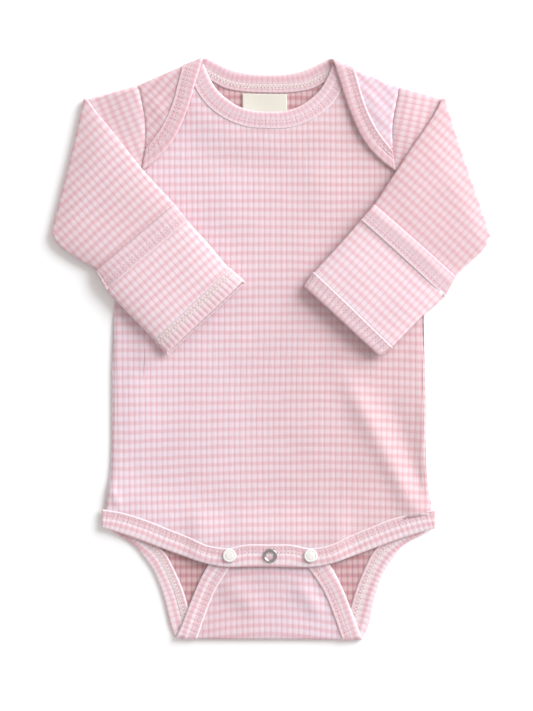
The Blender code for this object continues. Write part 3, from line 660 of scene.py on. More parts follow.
def pattern_area(nets: Sequence[ClothGrid]) -> float:
    """The flat area of the nets' pattern, in square metres."""
    total = 0.0
    for grid in nets:
        across = grid.pattern[1:, 1:] - grid.pattern[:-1, :-1]
        back = grid.pattern[1:, :-1] - grid.pattern[:-1, 1:]
        total += float(np.abs(across[..., 0] * back[..., 1] - across[..., 1] * back[..., 0]).sum())
    return total / 2 * MM * MM


# ---------------------------------------------------------------- panels


@dataclass
class BackPanel:
    """The back in one cloth, folded forward as a lap at each shoulder and a flap at the crotch."""

    material: Material
    # The inner side's finish, darker partly as painted shade.
    reverse: Material
    body_rows: int = 66
    fold_rows: int = 9
    lap_rows: int = 18
    flap_rows: int = 22
    neck_corner: float = 48.0
    armhole_corner: float = 88.2
    hip: float = 108.5
    strip_shift: float = 4 * CELL
    flap_end: float = -135.0
    seam_overlap: float = 0.3
    tip_inset: float = 0.2
    tip_column: float = 0.3
    ease_from: float = 60.0
    ease_top: float = 178.0
    ease_length: float = 10.0
    bow_depth: float = 4.0
    bow_half: float = 42.0
    bow_power: float = 1.8
    flap_creases: tuple[Crease, ...] = (
        Crease((-32.0, -156.0), (-6.0, -179.0), 7.5, 1.1),
        Crease((18.0, -158.0), (36.0, -180.0), 6.0, 1.2),
        Crease((-26.0, -151.0), (22.0, -153.0), 4.5, 0.5),
    )
    lap_creases: tuple[Crease, ...] = (
        Crease((66.0, 178.0), (80.0, 150.0), 4.5, 0.5),
        Crease((-80.0, 172.0), (-68.0, 150.0), 5.0, 0.5),
    )

    def neck_edge(self) -> Path:
        """The pattern's edge in the neck binding."""
        return over_fold(NECK_INNER_BACK, NECK_INNER_LAP, SHOULDER).shifted(TUCK)

    def leg_edge(self) -> Path:
        """The pattern's edge in a leg binding."""
        return over_fold(LEG_INNER, FLAP_INNER, CROTCH).shifted(TUCK)

    def wall_height(self, points: Array) -> Array:
        """The inner side, with its ribs, which change sides as the cloth is folded over."""
        half = on_one_half(points)
        turned = smooth(SHOULDER.beyond(half) / SHOULDER.length)
        turned = turned + smooth(CROTCH.beyond(half) / CROTCH.length)
        return WALL / 2 + RIB_RISE * rib(points[:, 0]) * (1.0 - 2.0 * turned)

    def ease_armhole(self, points: Array) -> Array:
        """Draws the cloth in to the hollow of the armhole."""
        half, y = np.abs(points[:, 0]), points[:, 1]
        edge = Path.through([row[::-1] for row in ARMHOLE[::-1]]).height_at(y)
        pull = np.maximum(self.armhole_corner - edge, 0.0)
        pull = pull * smooth((self.ease_top - y) / self.ease_length)
        pull = pull * smooth((half - self.ease_from) / (self.armhole_corner - self.ease_from))
        return np.column_stack([points[:, 0] - np.sign(points[:, 0]) * pull, y])

    def body_net(self, leg: Path, neck: Path) -> ClothGrid:
        """The part that lies on the surface."""
        x = rib_columns(0.0, self.hip)
        corner = self.crotch_corner(leg)
        corners = [corner, self.neck_corner, self.armhole_corner]
        x = np.sort(np.unique(np.concatenate([x, corners])))
        fold = CROTCH.start[1]
        bottom = np.where(x <= corner, fold, np.maximum(leg.height_at(x), fold))
        armhole = Path.through(BACK_ARMHOLE).height_at(x)
        side = Path.through(BACK_SIDE).height_at(x)
        top = np.where(x <= self.neck_corner, neck.height_at(x), SHOULDER.line_at(x, 0.0))
        top = np.where(x > self.armhole_corner, armhole, top)
        top = np.where(x > ARMHOLE[-1][0], np.maximum(side, bottom + LEAST_COLUMN), top)
        pattern = ruled(*both_sides(x, bottom, top), self.body_rows)
        return net(pattern, lay_back, self.wall_height, self.ease_armhole, slot=1)

    def crotch_corner(self, leg: Path) -> float:
        """The x at which the leg's edge reaches the crotch fold."""
        order = np.argsort(leg.points[:, 1])
        return float(np.interp(CROTCH.start[1], leg.points[order, 1], leg.points[order, 0]))

    def flap_nets(self, leg: Path) -> list[ClothGrid]:
        """The crotch fold and the flap."""
        corner = self.crotch_corner(leg)
        half = rib_columns(0.0, corner)
        x = np.concatenate([-half[:0:-1], half])
        start, end = CROTCH.start[1], CROTCH.start[1] - CROTCH.length
        last = CROTCH.unfold(np.array([[0.0, self.flap_end]]))[0, 1]
        bottom = np.minimum(np.maximum(leg.height_at(np.abs(x)), last), end - LEAST_COLUMN)
        fold = ruled(line_of(x, end), line_of(x, start), self.fold_rows)
        flap = ruled(line_of(x, bottom), line_of(x, end), self.flap_rows)
        return [
            net(fold, lay_back, self.wall_height, bow=self.flap_bow),
            net(flap, lay_back, self.wall_height, creases=self.flap_creases, bow=self.flap_bow),
        ]

    def flap_bow(self, points: Array) -> Array:
        """How the flap's bands hang down towards its sides."""
        return -self.bow_depth * (np.abs(points[:, 0]) / self.bow_half) ** self.bow_power

    def lap_nets(self, neck: Path, side: float) -> list[ClothGrid]:
        """The fold of one shoulder and its lap."""
        x = np.unique(np.concatenate([rib_columns(0.0, self.armhole_corner), [self.neck_corner]]))
        x = x[x >= self.neck_corner]
        over = x + self.strip_shift
        fold = ruled(
            line_of(x, SHOULDER.line_at(x, 0.0)), line_of(over, SHOULDER.line_at(over, 1.0)),
            self.fold_rows,
        )  # fmt: skip
        seam = Path.through(LAP_ARMHOLE).shifted(self.seam_overlap)
        armhole = SHOULDER.unfold(seam.points)
        tip = float(armhole[-1, 0]) - self.tip_inset
        outer = rib_columns(float(over[-1]), tip)[1:]
        x = np.concatenate([over, outer])
        bottom = np.where(
            x <= over[-1] + 1e-6, SHOULDER.line_at(x, 1.0), Path(armhole).height_at(x)
        )
        top = np.maximum(neck.height_at(x), bottom + self.tip_column)
        lap = ruled(line_of(x, bottom), line_of(x, top), self.lap_rows)
        if side < 0:
            fold, lap = (part[:, ::-1] * (-1.0, 1.0) for part in (fold, lap))
        return [
            net(fold, lay_back, self.wall_height),
            net(lap, lay_back, self.wall_height, creases=self.lap_creases),
        ]

    def build(self) -> Piece:
        """The dressed piece."""
        neck, leg = self.neck_edge(), self.leg_edge()
        nets = [self.body_net(leg, neck), *self.flap_nets(leg)]
        for side in (1.0, -1.0):
            nets += self.lap_nets(neck, side)
        both = (self.material, self.reverse)
        piece = Stand("back_cloth", "back_panel", "rib_knit", both, WALL).build(*nets)
        pattern_area(nets)
        return piece


@dataclass(frozen=True)
class Sag:
    """How far bands hang down on one side of the body, from where on and how fast."""

    side: float
    depth: float
    start: float
    reach: float
    power: float
    top: float
    run: float

    def at(self, points: Array) -> Array:
        """How far they hang at each point."""
        across = np.clip((points[:, 0] * self.side - self.start) / self.reach, 0.0, 1.0)
        return self.depth * across**self.power * smooth((self.top - points[:, 1]) / self.run)


@dataclass
class FrontPanel:
    """The front, from the neck scoop to the curved hem."""

    material: Material
    rows: int = 80
    hip: float = 110.4
    under_lap_top: float = 173.0
    sags: tuple[Sag, ...] = (
        Sag(-1.0, 5.0, -5.0, 110.0, 1.3, 10.0, 110.0), Sag(1.0, 3.5, 30.0, 80.0, 1.5, 90.0, 150.0),
    )  # fmt: skip
    creases: tuple[Crease, ...] = (
        Crease((-78.0, 26.0), (-82.0, -14.0), 8.0, 1.5),
        Crease((49.0, -15.0), (107.0, -123.0), 7.5, 2.1),
        Crease((81.0, -30.0), (107.0, -103.0), 7.0, -1.1),
        Crease((104.0, -28.0), (110.0, -92.0), 5.0, 1.0),
        Crease((-109.0, -92.0), (-101.0, -108.0), 3.0, 0.8),
        Crease((-96.0, 12.0), (-88.0, -70.0), 13.0, 0.7),
        Crease((-30.0, -20.0), (-44.0, -110.0), 22.0, 0.7),
        Crease((24.0, 30.0), (36.0, -90.0), 24.0, 0.8),
        Crease((62.0, -10.0), (70.0, -104.0), 12.0, 0.6),
        Crease((-20.0, 120.0), (-36.0, 80.0), 16.0, 0.5),
        Crease((22.0, 132.0), (44.0, 92.0), 14.0, 0.5),
    )

    def wall_height(self, points: Array) -> Array:
        """The outer side, with its ribs."""
        return WALL / 2 + RIB_RISE * rib(points[:, 0])

    def bow(self, points: Array) -> Array:
        """How the bands hang down towards the hips."""
        return sum(sag.at(points) for sag in self.sags)

    def build(self) -> Piece:
        """The dressed piece."""
        x = rib_columns(0.0, self.hip)
        neck = Path.through(FRONT_NECK_INNER).shifted(TUCK)
        hem = Path.through(HEM_INNER).shifted(-TUCK)
        bottom = hem.height_at(x)
        armhole = Path.through(FRONT_ARMHOLE).height_at(x)
        side = Path.through(FRONT_SIDE).height_at(x)
        neck_end, under_lap = neck.points[-1], FRONT_ARMHOLE[0][0]
        top = np.where(
            x <= neck_end[0],
            neck.height_at(x),
            lerp(neck_end[1], self.under_lap_top, (x - neck_end[0]) / (under_lap - neck_end[0])),
        )
        top = np.where(x > under_lap, armhole, top)
        top = np.where(x > ARMHOLE[-1][0], np.maximum(side, bottom + LEAST_COLUMN), top)
        pattern = ruled(*both_sides(x, bottom, top), self.rows)
        grid = net(pattern, lay_front, self.wall_height, creases=self.creases, bow=self.bow)
        stand = Stand("front_cloth", "front_panel", "rib_knit", (self.material,), WALL)
        piece = stand.build(grid)
        pattern_area([grid])  # fmt: skip
        return piece


# ---------------------------------------------------------------- sewing


class Stitching(Enum):
    """What a line of sewing shows on a face: its needle rows, or the looper's ladder."""

    ROWS = "rows"
    LADDER = "ladder"


@dataclass(frozen=True)
class Thread:
    """The sewing that shows on one binding, as many small stitches in one piece."""

    name: str
    at: Callable[[Array, Array, Array], Array]
    length: float
    height: float
    shows: tuple[tuple[Stitching, float], ...]
    materials: Sequence[Material]
    lines: tuple[float, float] = SEWN_ROWS
    thick: float = 0.44
    dash: float = 1.45
    margin: float = 1.0  # pitches left free at each end
    batch: int = 30

    def rows(self, dash: float) -> Array:
        """Both ends of each stitch of the two rows, as distances along and across."""
        middles = np.arange(self.margin, self.length / STITCH_PITCH - self.margin) * STITCH_PITCH
        ends = np.stack([middles - dash / 2, middles + dash / 2], axis=1)
        rows = [np.stack([ends, np.full_like(ends, line)], axis=2) for line in self.lines]
        return np.concatenate(rows)

    def ladder(self) -> Array:
        """Both ends of each thread that runs to and fro between the rows."""
        steps = np.arange(self.margin, self.length / STITCH_PITCH - self.margin, 0.5)
        along = steps * STITCH_PITCH
        across = np.where(np.arange(len(steps)) % 2 == 0, *self.lines)
        turns = np.stack([along, across], axis=1)
        return np.concatenate([np.stack([turns[:-1], turns[1:]], axis=1), self.rows(STITCH_PITCH)])

    def add_stitch(self, bm: BMesh, start: Array, end: Array) -> None:
        """Adds one stitch between two places of the frame."""
        run, thick = Vector(end - start), self.thick * MM
        turn = run.to_track_quat("Z", "Y").to_matrix().to_4x4()
        size = Matrix.Diagonal((thick, thick, run.length + thick, 1.0))
        place = Matrix.Translation(Vector((start + end) / 2)) @ turn @ size
        bmesh.ops.create_uvsphere(bm, u_segments=6, v_segments=4, radius=0.5, matrix=place)

    def build(self) -> Piece:
        """The dressed piece, put together from short lengths."""
        bm, lot = bmesh.new(), bpy.data.meshes.new("stitches")
        for kind, side in self.shows:
            ends = self.rows(self.dash) if kind is Stitching.ROWS else self.ladder()
            flat = ends.reshape(-1, 2)
            laid = self.at(flat[:, 0], flat[:, 1], np.full(len(flat), side * self.height))
            stitches = to_frame(laid).reshape(-1, 2, 3)
            for few in np.array_split(stitches, len(stitches) // self.batch + 1):
                part = bmesh.new()
                for start, end in few:
                    self.add_stitch(part, start, end)
                for face in part.faces:
                    face.material_index = int(kind is Stitching.LADDER)
                part.to_mesh(lot)
                part.free()
                bm.from_mesh(lot)
        bpy.data.meshes.remove(lot)
        piece = make_object(self.name, bm, self.materials)
        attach(piece, "root")
        return piece


# ---------------------------------------------------------------- bindings


@dataclass(frozen=True)
class Profile:
    """How a binding's closed section stands: its folded inner edge, sewn rows and free edge."""

    half: float = BAR / 2
    ridge: float = 0.12
    groove: float = 0.22
    rib_rise: float = 0.2
    two_sided: bool = False

    def upper(self, width: float) -> Array:
        """Rows of distance from the inner edge, height, and how much of the ribs shows."""
        h = self.half
        return np.array((
            (0.0, 0.25 * h, 0.0), (0.15, 0.72 * h, 0.2), (0.6, h + self.ridge, 0.35),
            (1.2, h + self.ridge, 0.4), (1.9, h - 0.05, 0.9), (2.6, h - 0.06, 1.0),
            (3.0, h - self.groove, 0.6), (3.5, h - 0.04, 1.0), (4.3, h, 1.0),
            (5.1, h - 0.04, 1.0), (5.6, h - self.groove, 0.6), (6.2, h - 0.03, 1.0),
            (lerp(6.4, width, 0.45), h, 1.0), (width - 1.5, h - 0.06, 1.0),
            (width - 0.75, 0.84 * h, 0.8), (width - 0.25, 0.5 * h, 0.4), (width, 0.0, 0.0),
        ))  # fmt: skip

    def section(self, width: float) -> Array:
        """The closed section, as rows of distance, height and rib share."""
        upper = self.upper(width)
        lower = upper[-2::-1] * (1.0, -1.0, 1.0)
        if not self.two_sided:
            upper[-3:, 1] = np.array((0.78, 0.36, -0.5)) * self.half
            lower[:-2, 1] = -0.97 * self.half
            lower[:, 2] *= 0.5
        return np.vstack([upper, lower, upper[:1]])


def matching(
    inner: Path, free: Path, stations: Array, settle: float = 25.0, reach: int = 12
) -> Array:
    """The places on the free path across from stations on the inner one.

    Args:
        inner: The path that the stations are on.
        free: The path across from it.
        stations: Distances along the inner path.
        settle: How far from the ends the matching is pulled to the paths' ends.
        reach: How many stations to either side it is evened out over.

    Returns:
        Distances along the free path, which only grow.
    """
    across = free.nearest(inner.at(stations))[0]
    across = np.maximum.accumulate(across)
    near_start = falling(stations / settle)
    near_end = falling((inner.length - stations) / settle)
    across = across - across[0] * near_start + (free.length - across[-1]) * near_end
    kernel = np.hanning(2 * reach + 1)
    padded = np.concatenate([np.full(reach, across[0]), across, np.full(reach, across[-1])])
    eased = np.convolve(padded, kernel / kernel.sum(), "valid")
    eased[0], eased[-1] = 0.0, free.length
    return np.maximum.accumulate(eased)


@dataclass
class Binding:
    """A strip of knit folded round a raw edge: its ribs run across it, its stripes along it."""

    name: str
    node: str
    material: Material
    inner: Path
    free: Path
    place: Place
    cut_width: float
    profile: Profile = Profile()
    thread_rise: float = 0.2
    lies_on: tuple[str, ...] = ()
    shows: tuple[tuple[Stitching, float], ...] = ((Stitching.ROWS, 1.0),)

    def stations(self) -> Array:
        """Distances along the inner edge, a cell apart."""
        count = int(round(self.inner.length / CELL))
        return np.linspace(0.0, self.inner.length, count + 1)

    def sew(self, threads: Sequence[Material]) -> Piece:
        """The binding's sewing."""
        stations = self.stations()
        matched = matching(self.inner, self.free, stations)

        def at(along: Array, across: Array, n: Array) -> Array:
            inner = self.inner.at(along)
            out = self.free.at(np.interp(along, stations, matched)) - inner
            out = out / np.linalg.norm(out, axis=1)[:, None]
            return self.place(inner + out * across[:, None], n)

        height = self.profile.half - self.profile.groove + self.thread_rise
        name = self.name.replace("trim", "sewing")
        return Thread(name, at, self.inner.length, height, self.shows, threads).build()

    def net(self) -> ClothGrid:
        """The strip's skin, all round its section."""
        stations = self.stations()
        inner = self.inner.at(stations)
        free = self.free.at(matching(self.inner, self.free, stations))
        widths = np.linalg.norm(free - inner, axis=1)
        section = self.profile.section(float(np.median(widths)))
        share = section[:, 0] / section[:, 0].max()
        flat = inner[:, None] + (free - inner)[:, None] * share[None, :, None]
        ribs = self.profile.rib_rise * (1.0 - rib(stations))[:, None] * section[None, :, 2]
        n = section[None, :, 1] - np.sign(section[None, :, 1]) * ribs
        laid = self.place(flat.reshape(-1, 2), n.reshape(-1)).reshape(*flat.shape[:2], 3)
        along = np.broadcast_to(stations[:, None], flat.shape[:2])
        across = share[None, :] * widths[:, None] + BAND_SHIFT
        return ClothGrid(laid, np.stack([along, across], axis=2))

    def build(self) -> Piece:
        """The dressed piece."""
        stand = Stand(self.name, self.node, "binding_knit", (self.material,), skin=Skin.STRIP)
        piece = stand.build(self.net())
        self.cut_width * MM
        list(self.lies_on)  # fmt: skip
        return piece


def body_bindings(back: Material, plain: Material, banded: Material) -> list[Binding]:
    """The strips of the neck, the hem and the leg openings."""
    both_faces = ((Stitching.ROWS, -1.0), (Stitching.LADDER, 1.0))
    neck_inner = over_fold(NECK_INNER_BACK, NECK_INNER_LAP, SHOULDER)
    neck_free = over_fold(NECK_FREE_BACK, NECK_FREE_LAP, SHOULDER)
    leg_inner = over_fold(LEG_INNER, FLAP_INNER, CROTCH)
    leg_free = over_fold(LEG_FREE, FLAP_FREE, CROTCH)
    made = [
        Binding(
            "neck_trim_back", "neck_binding_back", back, neck_inner.both_halves(),
            neck_free.both_halves(), lay_back_binding, 14.0, Profile(rib_rise=0.12, two_sided=True),
            shows=both_faces,
        ),
        Binding(
            "neck_trim_front", "neck_binding_front", plain,
            Path.through(FRONT_NECK_INNER).both_halves(),
            Path.through(FRONT_NECK_FREE).both_halves(), lay_front_neck, 13.0,
            Profile(rib_rise=0.14), lies_on=("back_cloth",),
        ),
        Binding(
            "hem_trim", "hem_binding_front", banded, Path.through(HEM_INNER).both_halves(),
            Path.through(HEM_FREE).both_halves(), lay_hem, 15.0,
            lies_on=("back_cloth",),
        ),
    ]  # fmt: skip
    for side in ("left", "right"):
        edges = [leg_inner, leg_free]
        if side == "left":
            edges = [edge.mirrored() for edge in edges]
        made.append(
            Binding(
                f"leg_trim_{side}", f"leg_binding_{side}", banded, *edges, lay_back_binding,
                15.5, Profile(two_sided=True), shows=both_faces,
            )
        )  # fmt: skip
    return made


# ---------------------------------------------------------------- sleeves


@dataclass(frozen=True)
class RingStand:
    """Where a ring of a flat tube stands: its middle line, and which way its first layer faces."""

    middle: Array  # n, 2
    z: Array
    half: Array
    normal: Array
    length: float
    puff: Array | float = 0.0
    ribs: float = 1.0


class SleeveShape:
    """Where a folded sleeve lies: a flat tube from the armhole to the cuff, for +X."""

    PER_ROW = 32
    RIB_ROW = 3  # the forearm's ribs run from this row to the last
    SEAM_GAP = GAP + 0.1
    SEAM_IN, SEAM_IN_BELOW_LAP = 0.4, 1.2
    # Shares of the armhole: where the lap ends, where the seam comes down, and its dip
    LAP_END, LAP_END_WIDTH = 0.34, 0.14
    LOW_FROM, LOW_WIDTH = 0.55, 0.4
    DIP_END, DIP_END_WIDTH = 0.4, 0.2
    DIP_REACH = 0.05  # share of the upper arm
    FOLD_RIBS_LOST = 0.85

    def __init__(self, side: float, rows: Rows) -> None:
        """Reads the forearm's rows and finds the fold and the armhole."""
        self.side = side
        table = np.array(rows, float)
        table[:, [0, 2]] *= side
        top, bottom = table[0, :2], table[0, 2:4]
        self.fold_length = float(np.linalg.norm(bottom - top))
        self.fold_along = (bottom - top) / self.fold_length
        self.fold_out = np.array((-self.fold_along[1], self.fold_along[0]))
        self.fold_start = top - self.fold_out * (SLEEVE_FOLD_RADIUS + TUBE_HALF)
        self.armhole = Path.through((SLEEVE_TOP, *ARMHOLE)).shifted(self.SEAM_GAP)
        self.heights = table[:, 4:6]
        self.edges = catmull_rom(table[:, :4], self.PER_ROW)

    def row(self, t: float) -> tuple[Array, Array, float, float]:
        """Both edges and both heights at row t of the table, between rows too."""
        at = np.arange(len(self.edges)) / self.PER_ROW
        edge = np.array([np.interp(t, at, self.edges[:, k]) for k in range(4)])
        rows = np.arange(len(self.heights))
        z_top, z_bottom = (float(np.interp(t, rows, self.heights[:, k])) for k in (0, 1))
        return edge[:2], edge[2:], z_top, z_bottom

    def upper_ring(self, tau: float, v: Array) -> RingStand:
        """A ring of the upper arm, from the armhole (0) to the fold (1)."""
        seam = self.armhole.at(v * self.armhole.length)
        below_lap = smooth((v - self.LAP_END) / self.LAP_END_WIDTH)
        seam[:, 0] -= self.SEAM_IN + self.SEAM_IN_BELOW_LAP * below_lap
        fold = self.fold_start + self.fold_along * (v * self.fold_length)[:, None]
        seam_top = lap_mid(seam[:, 1]) + WALL / 2
        seam_top = lerp(seam_top, 2 * TUBE_HALF, smooth((v - self.LOW_FROM) / self.LOW_WIDTH))
        high = lerp(seam_top, 2 * TUBE_HALF, float(smooth(tau)))
        dip = SEAM_DIP * falling((v - self.DIP_END) / self.DIP_END_WIDTH)
        high = high - dip * float(falling(tau / self.DIP_REACH))
        length = lerp(self.armhole.length, self.fold_length, tau)
        puff = UPPER_ARM_PUFF * math.sin(math.pi * tau) * self.edge_fade(v)
        up = np.array((0.0, 0.0, 1.0))
        return RingStand(lerp(seam, fold, tau), high / 2, high / 2, up, length, puff)

    def fold_ring(self, angle: float, v: Array) -> RingStand:
        """A ring on the way round the fold."""
        fold = self.fold_start + self.fold_along * (v * self.fold_length)[:, None]
        z = np.full(len(v), TUBE_HALF + SLEEVE_FOLD_RADIUS * (1.0 - math.cos(angle)))
        out = -self.fold_out * math.sin(angle)
        return RingStand(
            fold + self.fold_out * SLEEVE_FOLD_RADIUS * math.sin(angle), z,
            np.full(len(v), TUBE_HALF), np.array((out[0], out[1], math.cos(angle))),
            self.fold_length, ribs=1.0 - self.FOLD_RIBS_LOST * math.sin(angle),
        )  # fmt: skip

    def forearm_ring(self, t: float, v: Array) -> RingStand:
        """A ring of the forearm, which lies face down after the fold."""
        top, bottom, z_top, z_bottom = self.row(t)
        half = np.full(len(v), TUBE_HALF)
        return RingStand(
            lerp(top, bottom, v[:, None]), lerp(z_top, z_bottom, v) + TUBE_HALF, half,
            np.array((0.0, 0.0, -1.0)), float(np.linalg.norm(bottom - top)), self.puff(t, v),
        )  # fmt: skip

    def edge_fade(self, v: Array) -> Array:
        """1 across a sleeve's width, falling to 0 at its edges."""
        return 1.0 - np.abs(2.0 * np.clip(v, 0.0, 1.0) - 1.0) ** 5

    def puff(self, t: Array | float, v: Array) -> Array:
        """How far the forearm's upper layer stands off its lower one at row t."""
        return np.interp(t, *zip(*FOREARM_PUFF, strict=True)) * self.edge_fade(v)

    def rib_run(self) -> Array:
        """The way the ribs run on the upper arm, so that they follow the forearm past the fold."""
        middle = (self.edges[:, :2] + self.edges[:, 2:]) / 2
        forearm = middle[-1] - middle[self.PER_ROW * self.RIB_ROW]
        forearm = forearm / np.linalg.norm(forearm)
        return 2 * (forearm @ self.fold_along) * self.fold_along - forearm

    def unfolded(self, laid: Array) -> Array:
        """Where places on the forearm are in the flat cut."""
        inside = (self.fold_start - laid) @ self.fold_out
        reach = 2 * inside + math.pi * SLEEVE_FOLD_RADIUS
        return laid + self.fold_out * reach[..., None]

    def pattern(self, flat: Array) -> Array:
        """Places in the flat cut, as distances across and along the ribs."""
        run = self.rib_run()
        return np.stack([flat @ np.array((-run[1], run[0])), flat @ run], axis=-1)

    def to_side(self, laid: Array) -> Array:
        """Points on this sleeve's own side of the body."""
        return laid * (self.side, 1.0, 1.0)


@dataclass
class Sleeve:
    """A sleeve laid flat and folded once, so that the forearm crosses the chest."""

    side_name: str
    shape: SleeveShape
    material: Material
    upper_rows: int = 18
    fold_rows: int = 12
    forearm_step: float = 0.16
    column: float = 0.55
    corner_columns: int = 5
    spread: float = 1.25  # of the upper arm's rings, which lie closer at the seam
    bend: float = 1.2  # a flat tube's edge, in half heights
    turn_from: float = 1.2  # the angle where the other layer begins to show
    turn_length: float = 1.4
    clear: float = 0.6  # of the fold, before the forearm's rings start

    def around(self) -> Array:
        """The share of a ring's width at each column of one layer, from edge to edge."""
        width = self.shape.fold_length
        bend = self.bend * TUBE_HALF
        corner = bend * (1.0 - np.cos(np.linspace(0.0, math.pi / 2, self.corner_columns)))
        inner = np.arange(bend + self.column, width - bend - self.column / 2, self.column)
        return np.concatenate([corner, inner, width - corner[::-1]]) / width

    def ring(self, stand: RingStand, v: Array, across: Array, shows_first: float) -> Array:
        """The points round one ring, first layer and then the other, as columns, 3."""
        bend = self.bend * stand.half
        distance = v * stand.length
        from_end = np.minimum(distance, stand.length - distance)
        share = 1.0 - np.clip(from_end / bend, 0.0, 1.0)
        height = stand.half * np.sqrt(np.maximum(0.0, 1.0 - share**2))
        middle = np.column_stack([stand.middle, stand.z])
        layers = []
        stands = RIB_RISE * stand.ribs * rib(across) * (1.0 - share)
        for k, facing in enumerate((1.0, -1.0)):
            shown = shows_first if k == 0 else 1.0 - shows_first
            rise = lerp(stands - RIB_RISE * stand.ribs * (1.0 - share), stands, shown)
            layer = middle + stand.normal * (facing * (height + rise))[:, None]
            if facing * stand.normal[2] > 0.5:
                layer[:, 2] += stand.puff
            layers.append(layer)
        return np.vstack([layers[0], layers[1][::-1]])

    def net(self) -> ClothGrid:
        """The skin from the armhole round the fold and down the forearm."""
        shape, v = self.shape, self.around()
        stands, cut, shows_first = [], [], []
        for tau in np.linspace(0.0, 1.0, self.upper_rows + 1) ** self.spread:
            stands.append(shape.upper_ring(float(tau), v))
            cut.append(stands[-1].middle)
            shows_first.append(1.0)
        for angle in np.linspace(0.0, math.pi, self.fold_rows + 1)[1:]:
            stands.append(shape.fold_ring(float(angle), v))
            cut.append(cut[self.upper_rows] + shape.fold_out * (SLEEVE_FOLD_RADIUS * angle))
            shows_first.append(float(falling((angle - self.turn_from) / self.turn_length)))
        for t in np.arange(1, int(CUFF_START / self.forearm_step) + 2) * self.forearm_step:
            stand = shape.forearm_ring(float(t), v)
            if np.min((shape.fold_start - stand.middle) @ shape.fold_out) < self.clear:
                continue
            stands.append(stand)
            cut.append(shape.unfolded(stands[-1].middle))
            shows_first.append(0.0)
        laid, pattern = [], []
        for stand, flat, shown in zip(stands, cut, shows_first, strict=True):
            placed = shape.pattern(flat)
            laid.append(self.ring(stand, v, placed[:, 0], shown))
            pattern.append(np.vstack([placed, placed[::-1]]))
        return ClothGrid(shape.to_side(np.stack(laid)), np.stack(pattern))

    def build(self) -> Piece:
        """The dressed piece."""
        piece = Stand(
            f"sleeve_cloth_{self.side_name}", f"sleeve_{self.side_name}", "rib_knit",
            (self.material,), WALL, Skin.TUBE,
        ).build(self.net())  # fmt: skip
        return piece


@dataclass
class Mitten:
    """The fold-over mitten that lies on a forearm, its bound edge towards the shoulder."""

    side_name: str
    shape: SleeveShape
    cloth: Material
    trim: Material
    rows: int = 14
    column: float = 0.55
    inset: float = 0.3
    under: float = 0.12  # rows that run under the strips
    droop: float = 0.5
    droop_width: float = 1.6
    sink: float = 0.1

    def top_under(self, point_v: Array, t: float) -> Array:
        """The height of the forearm's top and the gap over it."""
        _, _, z_top, z_bottom = self.shape.row(t)
        stack = 2 * TUBE_HALF + GAP + self.shape.puff(t, point_v)
        return lerp(z_top, z_bottom, point_v) + stack

    def build_flap(self) -> Piece:
        """The flap's cloth."""
        laid, pattern = [], []
        for t in np.linspace(BAND_END - self.under, CUFF_START + self.under, self.rows + 1):
            top, bottom, _, _ = self.shape.row(float(t))
            length = float(np.linalg.norm(bottom - top))
            count = int(self.shape.fold_length / self.column)
            places = np.linspace(self.inset, length - self.inset, count)
            v = places / length
            middle = lerp(top, bottom, v[:, None])
            placed = self.shape.pattern(self.shape.unfolded(middle))
            edge = np.minimum(places, length - places) - self.inset
            droop = self.droop * falling(edge / self.droop_width)
            z = self.top_under(v, float(t)) + WALL + RIB_RISE * rib(placed[:, 0]) - droop
            laid.append(np.column_stack([middle, z]))
            pattern.append(placed)
        grid = ClothGrid(self.shape.to_side(np.stack(laid)), np.stack(pattern))
        piece = Stand(
            f"mitten_cloth_{self.side_name}", f"mitten_{self.side_name}", "rib_knit",
            (self.cloth,), WALL, Skin.SHEET,
        ).build(grid)  # fmt: skip
        return piece

    def band(self) -> Binding:
        """The strip on the flap's free edge."""
        start, end = self.shape.row(BAND_START), self.shape.row(BAND_END)
        z_top, z_bottom = (start[2] + end[2]) / 2, (start[3] + end[3]) / 2
        inner = Path(np.stack([end[0], end[1]]))
        free = Path(np.stack([start[0], start[1]]))
        top, axis = start[0], start[1] - start[0]

        def place(points: Array, n: Array) -> Array:
            v = (points - top) @ axis / (axis @ axis)
            z = lerp(z_top, z_bottom, np.clip(v, 0.0, 1.0)) + 2 * TUBE_HALF + GAP + BAR / 2 + n
            z = z + self.shape.puff(BAND_END, v) - self.sink
            return self.shape.to_side(stacked(points, z))

        return Binding(
            f"mitten_trim_{self.side_name}", f"mitten_binding_{self.side_name}", self.trim,
            inner, free, place, 14.0,
            lies_on=(f"sleeve_cloth_{self.side_name}",),
        )  # fmt: skip


